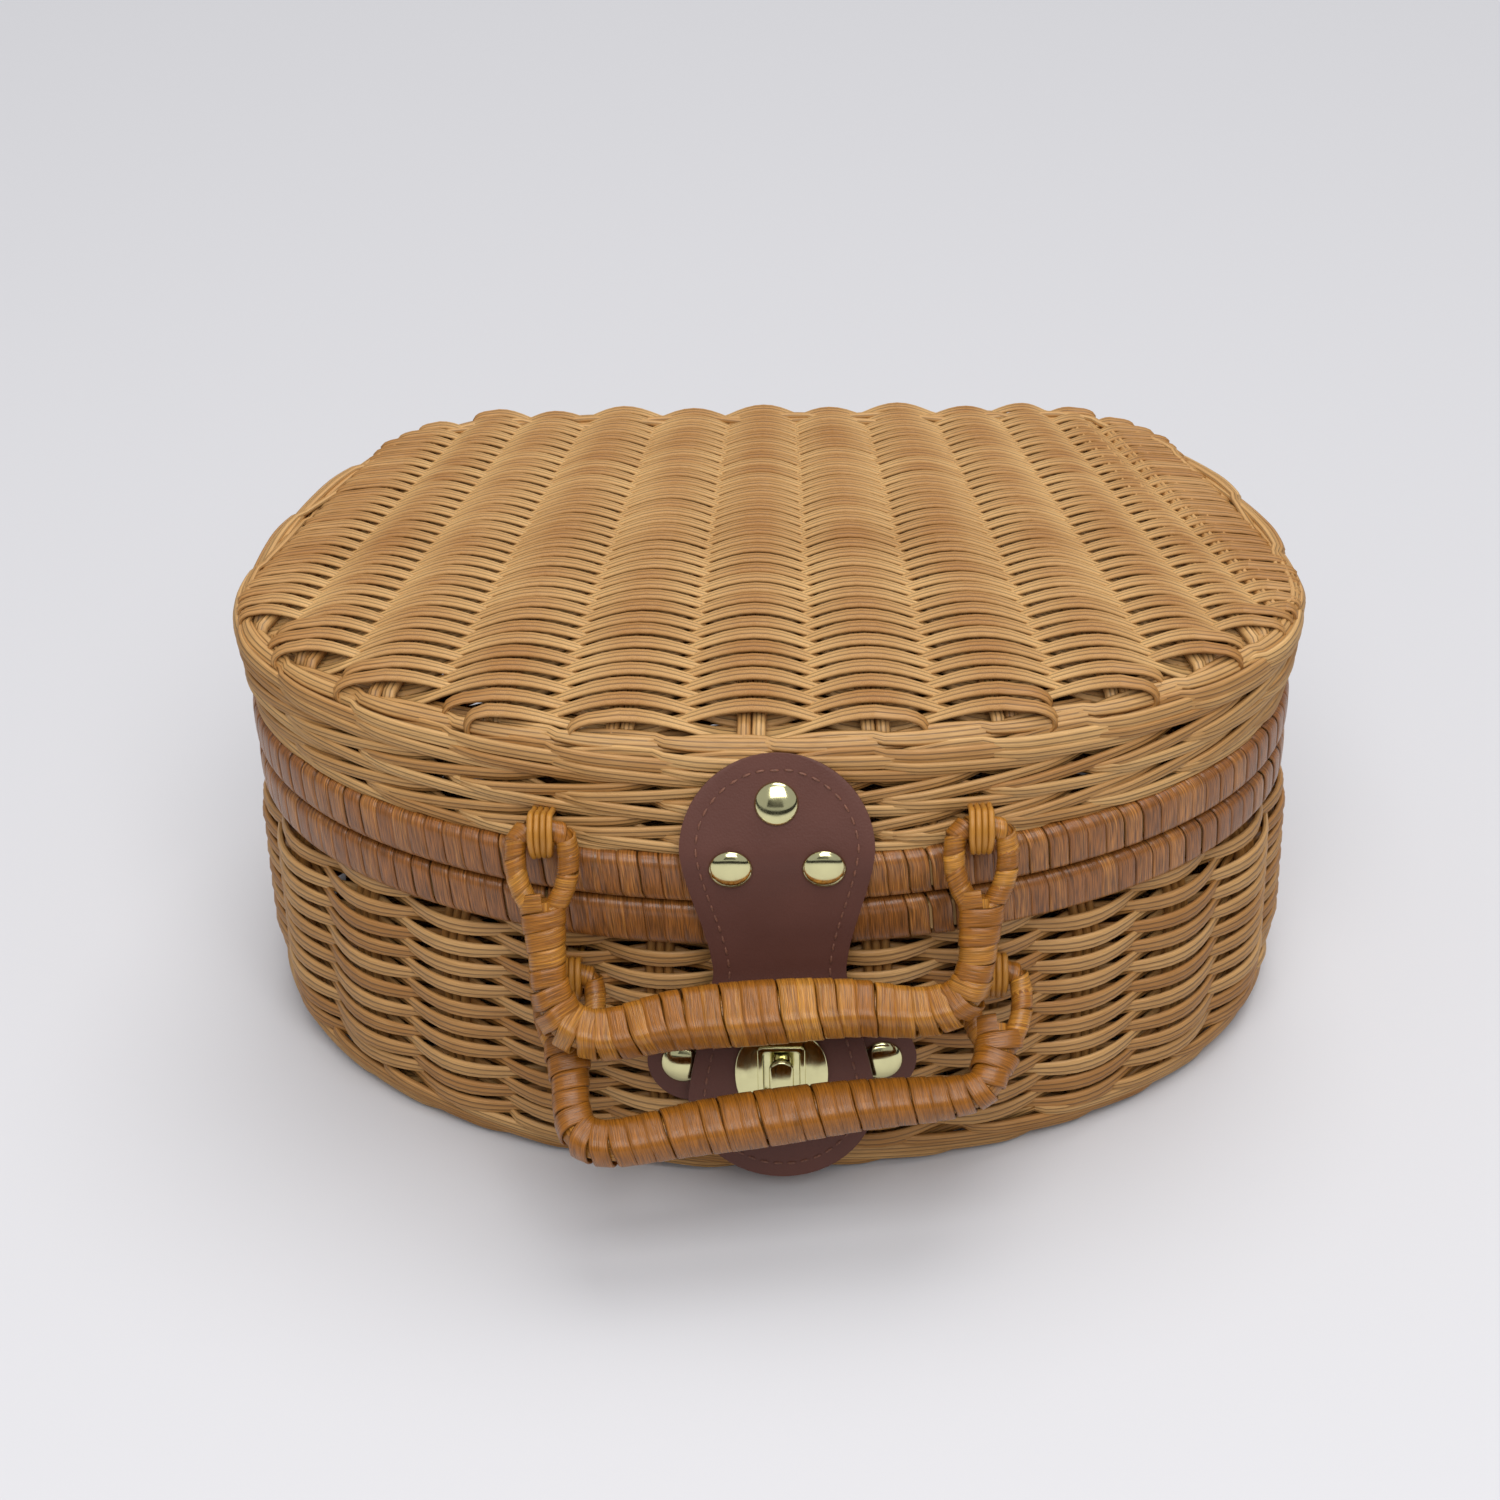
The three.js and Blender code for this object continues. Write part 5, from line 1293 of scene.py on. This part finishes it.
class BASKET_OT_strap(bpy.types.Operator):
    """Cut the stitched strap that closes the lid, and the patch behind the lock"""
    bl_idname = "basket.strap"
    bl_label = "Strap and Patch"

    def execute(self, context):
        sizes = context.scene.basket_leather
        ends = STRAP_LOBE * (1 - np.cos(np.linspace(0.02, np.pi / 2, 14)))
        run = np.linspace(STRAP_LOBE, STRAP_LENGTH - STRAP_LOBE, 44)[1:-1]
        stations = np.concatenate([ends, run, STRAP_LENGTH - ends[::-1]])
        # The hole for the knob: its ends and sides fall on rows and columns, hidden behind the slot's frame
        ends_z = [lock_place(0, 5, end)[2] for end in (HOLE_HIGH, HOLE_LOW)]
        slot_ends = [strap_distance(z) for z in ends_z]
        slot_rows = [int(np.argmin(np.abs(stations - end))) for end in slot_ends]
        stations[slot_rows] = slot_ends
        across = np.linspace(-1, 1, 15)
        rows = []
        for s in stations:
            half = float(strap_half(s))
            inner = min(HOLE_HALF_WIDTH, half * 2 / 7)
            x = np.sign(across) * np.interp(np.abs(across), (0, 2 / 7, 1), (0, inner, half))
            rows.append(strap_place(x, np.full(15, s))[0])
        band = leather_piece("strap_leather", rows, sizes.thickness, (*slot_rows, 5, 9))
        inset = sizes.stitch_inset / MM
        s = np.concatenate([ends[1:], run, STRAP_LENGTH - ends[-2::-1]])
        half = strap_half(s)
        edge = np.concatenate([np.column_stack([half, s]), np.column_stack([-half, s])[::-1]])
        tangent = unit(np.roll(edge, -1, 0) - np.roll(edge, 1, 0))
        inner = edge + np.column_stack([-tangent[:, 1], tangent[:, 0]]) * inset
        lift = sizes.thickness / MM / 2 + 0.05
        points, facing = strap_place(inner[:, 0], inner[:, 1], np.full(len(inner), lift))
        seam = Strands(80)
        seam.add(points, facing, closed=True)
        stitches = grow(seam.lines("strap_stitch_lines"), stitch_tree(), "strap_stitches", {
            "Pitch": sizes.stitch_pitch, "Length": sizes.stitch_length, "Thread": 0.8 * MM,
            "Material": waxed_thread()})
        y = (STRAP_Y + PLAN_SHIFT) * MM
        crossing = ("lid", "strap_flap", (0, y, (SEAM_Z + 4) * MM), (0, y, (SEAM_Z - 4) * MM))
        settle(band, ("strap", "strap_flap"), blend=crossing)
        settle(stitches, blend=crossing)
        x = PATCH_HALF_LENGTH * np.sin(np.linspace(-0.5, 0.5, 41) * np.pi) * 0.9995
        to_end = PATCH_HALF_LENGTH - np.abs(x)
        into_end = np.clip(PATCH_HALF_HEIGHT - to_end, 0, None)
        half = np.sqrt(np.clip(PATCH_HALF_HEIGHT ** 2 - into_end ** 2, 0, None))
        rows = [lock_place(np.full(9, here), -wall_fallback(here) + 1.2, np.linspace(-1, 1, 9) * tall)
                for here, tall in zip(x, half)]
        patch = leather_piece("leather_patch_hide", rows, sizes.thickness)
        settle(patch, ("leather_patch",), "base")
        return {"FINISHED"}


# Metal

def rivet_tree():
    """Sets a domed rivet head on every point, square to its facing."""
    tree, given = open_tree("Rivets", {"Radius": "Float", "Height": "Float"})
    facing = named_field(tree, "facing", "FLOAT_VECTOR")
    turned = add_node(tree, "FunctionNodeAlignRotationToVector", named={"Vector": facing}, axis="Z")
    ball = add_node(tree, "GeometryNodeMeshUVSphere", 32, 24, 1.0)
    place = add_node(tree, "GeometryNodeInputPosition")
    split = add_node(tree, "ShaderNodeSeparateXYZ", place.outputs[0])
    # The underside is pulled flat, and the top keeps a full round shoulder
    top = maths(tree, "MAXIMUM", split.outputs[2], -0.12)
    domed = add_node(tree, "ShaderNodeCombineXYZ", split.outputs[0], split.outputs[1], top)
    head = add_node(tree, "GeometryNodeSetPosition", ball.outputs[0], named={"Position": domed.outputs[0]})
    size = add_node(tree, "ShaderNodeCombineXYZ", given["Radius"], given["Radius"], given["Height"])
    scaled = add_node(tree, "GeometryNodeTransform", head.outputs[0], named={"Scale": size.outputs[0]})
    points = add_node(tree, "GeometryNodeMeshToPoints", given["Geometry"])
    close_tree(tree, placed(tree, points, scaled, turned), given)
    return tree


class BASKET_OT_rivets(bpy.types.Operator):
    """Set domed brass rivets on the strap and on the patch"""
    bl_idname = "basket.rivets"
    bl_label = "Rivets"

    def execute(self, context):
        tree = rivet_tree()
        strap_points = [strap_place(x, strap_distance(z), 0.9) for x, z in STRAP_RIVETS]
        patch_points = []
        for x in (-PATCH_RIVET_X, PATCH_RIVET_X):
            back = float(wall_fallback(x))
            slope = (x + STRAP_X) / LOCK_WALL_HALF_WIDTH
            point = lock_place(x, 2.1 - back, 0)
            normal = lock_place(x + slope * 0.6, 3.1 - back, 0) - point
            patch_points.append((point, normal / np.linalg.norm(normal)))
        for name, body, points, nodes in (
                ("strap_rivet_domes", "lid", strap_points,
                 ("strap_rivet_top", "strap_rivet_left", "strap_rivet_right")),
                ("patch_rivet_domes", "base", patch_points, ("patch_rivet_left", "patch_rivet_right"))):
            mesh = bpy.data.meshes.new(f"{name}_points")
            mesh.from_pydata([tuple(to_frame(point)) for point, _ in points], [], [])
            mesh.attributes.new("facing", "FLOAT_VECTOR", "POINT").data.foreach_set(
                "vector", np.array([normal for _, normal in points], np.float32).ravel())
            source = link_object(mesh.name, mesh)
            heads = grow(source, tree, name, {"Radius": RIVET_RADIUS * MM, "Height": RIVET_HEIGHT * MM,
                                              "Material": brass()})
            settle(heads, nodes, body)
        return {"FINISHED"}


def stamped(name, outlines, back, front, edge, material):
    """A flat metal piece in the frame of the lock, with rounded edges. outlines are closed lines of
    (x, z); the later ones are holes."""
    curve = bpy.data.curves.new(name, "CURVE")
    curve.dimensions, curve.fill_mode = "2D", "BOTH"
    curve.extrude = (front - back) / 2 * MM - edge * MM
    curve.bevel_depth, curve.bevel_resolution, curve.offset = edge * MM, 3, -edge * MM
    for outline in outlines:
        spline = curve.splines.new("POLY")
        spline.points.add(len(outline) - 1)
        spline.use_cyclic_u = True
        for point, (x, z) in zip(spline.points, outline):
            point.co = (x * MM, z * MM, 0, 1)
    flat = link_object(name, curve)
    mesh = evaluated_mesh(flat)
    bpy.data.objects.remove(flat)
    # The curve's plane stands up in the lock's frame: its y becomes z and its z points out
    corner = to_frame(lock_place(0, (front + back) / 2, 0))
    axes = [lock_place(*way) - lock_place(0, 0, 0) for way in ((1, 0, 0), (0, 0, 1), (0, 1, 0))]
    mesh.transform(Matrix([[*(axis[row] for axis in axes), corner[row]] for row in range(3)] + [[0, 0, 0, 1]]))
    made = link_object(name, mesh)
    made.data.materials.clear()
    made.data.materials.append(material)
    work = bmesh.new()
    work.from_mesh(mesh)
    bmesh.ops.remove_doubles(work, verts=work.verts, dist=1e-6)
    bmesh.ops.recalc_face_normals(work, faces=work.faces)
    for face in work.faces:
        face.smooth = True
    for side in work.edges:
        if len(side.link_faces) == 2 and side.calc_face_angle(0) > math.radians(40):
            side.smooth = False
    work.to_mesh(mesh)
    work.free()
    return made


def bowed_plate(half_width, half_height, corner, steps=10):
    """Outline of a plate whose sides bow between cut corners."""
    w, h = half_width, half_height
    runs = (((w - corner, -h), (w, -h + corner / 2), (w, 0)),
            ((w, 0), (w, h - corner / 2), (w - corner, h)),
            ((-w + corner, h), (-w, h - corner / 2), (-w, 0)),
            ((-w, 0), (-w, -h + corner / 2), (-w + corner, -h)))
    points = []
    for a, b, c in runs:
        for t in np.linspace(0, 1, steps):
            point = tuple((1 - t) ** 2 * a[k] + 2 * t * (1 - t) * b[k] + t * t * c[k] for k in (0, 1))
            if not points or math.dist(points[-1], point) > 0.01:
                points.append(point)
    return points


def stadium(half_width, half_height, steps=12):
    """Outline of an upright bar with round ends."""
    r, up = half_width, half_height - half_width
    return [(r * math.cos(a), way * up + r * math.sin(a)) for way, start in ((1, 0), (-1, math.pi))
            for a in np.linspace(start, start + math.pi, steps)]


def round_box(half_width, low, high, radius, steps=5):
    """Outline of a box with its corners rounded."""
    corners = ((half_width - radius, high - radius, 0), (-half_width + radius, high - radius, 90),
               (-half_width + radius, low + radius, 180), (half_width - radius, low + radius, 270))
    return [(x + radius * math.cos(math.radians(start + a)), z + radius * math.sin(math.radians(start + a)))
            for x, z, start in corners for a in np.linspace(0, 90, steps)]


class BASKET_OT_lock(bpy.types.Operator):
    """Make the face plate with its raised slot frame, and the turn knob"""
    bl_idname = "basket.lock"
    bl_label = "Turn Lock"

    def execute(self, context):
        slot = round_box(SLOT_HALF_WIDTH, SLOT_LOW, SLOT_HIGH, 1.0)
        outline = bowed_plate(PLATE_HALF_SIZE, PLATE_HALF_SIZE, 7)
        plate = stamped("lock_face_stamping", [outline, slot], *PLATE_DEPTH, 0.45, brass())
        # The raised frame is 1.7 mm wide round the slot
        outline = round_box(SLOT_HALF_WIDTH + 1.75, SLOT_LOW - 1.7, SLOT_HIGH + 1.7, 1.6)
        collar = stamped("lock_slot_frame", [outline, slot], *SLOT_FRAME_DEPTH, 0.4, brass())
        joined = join_pieces("lock_face_stamping", [plate, collar])
        settle(joined, ("lock_face_plate",), "strap_flap")
        bar = stadium(KNOB_HALF_WIDTH, KNOB_HALF_HEIGHT)
        head = stamped("turn_knob_head", [bar], *KNOB_DEPTH, 0.95, brass())
        circle = [(STEM_RADIUS * math.cos(a), STEM_RADIUS * math.sin(a))
                  for a in np.linspace(0, 2 * math.pi, 24, endpoint=False)]
        stem = stamped("turn_knob_stem", [circle], *STEM_DEPTH, 0.2, brass())
        knob = join_pieces("turn_knob_bar", [head, stem])
        settle(knob, ("turn_knob",), "turn_knob")
        return {"FINISHED"}


class BASKET_OT_inner_parts(bpy.types.Operator):
    """Finish the parts that stay as the frame has them: hoops, rods, washers and rivet backs"""
    bl_idname = "basket.inner_parts"
    bl_label = "Inner Parts"

    def execute(self, context):
        for name, node in frame["nodes"].items():
            if node.hide_render:
                continue
            if "rivet_back" in name or name in ("lock_washer", "lock_face_backing"):
                material = steel()
            elif name.startswith("lock"):
                material = brass()
            else:
                material = round_willow()
            node.data.materials.clear()
            node.data.materials.append(material)
        return {"FINISHED"}


class BASKET_OT_stage(bpy.types.Operator):
    """Set the pale floor, the soft light and the camera"""
    bl_idname = "basket.stage"
    bl_label = "Studio"

    def execute(self, context):
        scene = context.scene
        floor_mesh = bpy.data.meshes.new("studio_floor")
        floor_mesh.from_pydata([(-4, -4, 0), (4, -4, 0), (4, 4, 0), (-4, 4, 0)], [], [(0, 1, 2, 3)])
        floor = link_object("studio_floor", floor_mesh)
        # Matt paper backdrop: an even pale grey
        made, tree, shader = new_material("Matt paper")
        set_shader(tree, shader, Base_Color=(*scene.basket_colours.floor, 1), Roughness=0.9,
                   Specular_IOR_Level=0.1)
        floor.data.materials.append(made)
        world = bpy.data.worlds.new("Studio")
        world.use_nodes = True
        sky_shader = world.node_tree.nodes["Background"]
        set_shader(world.node_tree, sky_shader, Color=(0.93, 0.95, 1.0, 1), Strength=0.5)
        scene.world = world
        # Dark cards that only mirrors see: the room's horizon, and the gap the camera looks through
        card_paint, tree, shader = new_material("Black card")
        set_shader(tree, shader, Base_Color=(0.02, 0.02, 0.02, 1))
        turns = np.linspace(0, 2 * np.pi, 33)[:-1]
        horizon = [(2.5 * math.cos(a), 2.5 * math.sin(a), z) for z in (0.04, 0.55) for a in turns]
        lookout = [(x, -1.1 - 0.2 * (z - 0.5), z)
                   for x, z in ((-0.45, 0.45), (0.3, 0.45), (0.3, 0.95), (-0.45, 0.95))]
        for name, corners, faces in (
                ("horizon_card", horizon, [(k, (k + 1) % 32, (k + 1) % 32 + 32, k + 32) for k in range(32)]),
                ("lookout_card", lookout, [(0, 1, 2, 3)])):
            mesh = bpy.data.meshes.new(name)
            mesh.from_pydata(corners, [], faces)
            mesh.materials.append(card_paint)
            card = link_object(name, mesh)
            card.visible_camera = card.visible_diffuse = card.visible_shadow = False
        key, sky = bpy.data.lights.new("Key", "AREA"), bpy.data.lights.new("Sky", "SUN")
        key.energy, key.size = 17.5, 1.1
        sky.energy, sky.angle = 1.3, math.radians(40)
        for light, place in ((key, (0.1, -0.78, 1.45)), (sky, (0.3, 0.75, 1.9))):
            lamp = link_object(light.name, light)
            lamp.location = place
            aim = Vector((0, 0, 0.05)) - Vector(place)
            lamp.rotation_euler = aim.to_track_quat("-Z", "Y").to_euler()
        view = bpy.data.cameras.new("Camera")
        view.lens, view.sensor_width = 72, 36
        camera = link_object("Camera", view)
        right = Vector((0.999559, 0.015726, -0.025192))
        down = Vector((-0.010157, -0.616093, -0.787608))
        ahead = Vector((-0.027906, 0.787516, -0.615662))
        camera.matrix_world = Matrix([[right[k], -down[k], -ahead[k], place] for k, place in enumerate(
            (0.019478, -0.728840 + PLAN_SHIFT * MM, 0.652467))] + [[0, 0, 0, 1]])
        scene.camera = camera
        scene.view_settings.view_transform = "Standard"
        return {"FINISHED"}


OPERATORS = (BASKET_OT_stage, BASKET_OT_lid_top, BASKET_OT_lid_wall, BASKET_OT_base_wall, BASKET_OT_foot,
             BASKET_OT_rims, BASKET_OT_handles, BASKET_OT_ties, BASKET_OT_hinges, BASKET_OT_strap,
             BASKET_OT_rivets, BASKET_OT_lock, BASKET_OT_inner_parts)
GROUPS = {"basket_weave": BasketWeave, "basket_winding": BasketWinding, "basket_leather": BasketLeather,
          "basket_colours": BasketColours}


class BASKET_PT_panel(bpy.types.Panel):
    """Sizes, colours and steps of the basket"""
    bl_idname = "BASKET_PT_panel"
    bl_label = "Suitcase Basket"
    bl_space_type = "VIEW_3D"
    bl_region_type = "UI"
    bl_category = "Basket"

    def draw(self, context):
        for key, group in GROUPS.items():
            box = self.layout.box()
            for field in group.__annotations__:
                box.prop(getattr(context.scene, key), field)
        for operator in OPERATORS:
            self.layout.operator(operator.bl_idname)


CLASSES = (*GROUPS.values(), *OPERATORS, BASKET_PT_panel)


def register():
    for kind in CLASSES:
        bpy.utils.register_class(kind)
    for key, group in GROUPS.items():
        setattr(bpy.types.Scene, key, PointerProperty(type=group))


def unregister():
    for key in GROUPS:
        delattr(bpy.types.Scene, key)
    for kind in reversed(CLASSES):
        bpy.utils.unregister_class(kind)


def main():
    register()
    for operator in OPERATORS:
        getattr(bpy.ops.basket, operator.bl_idname.split(".")[1])()
    bpy.context.view_layer.update()


if __name__ == "__main__":
    main()
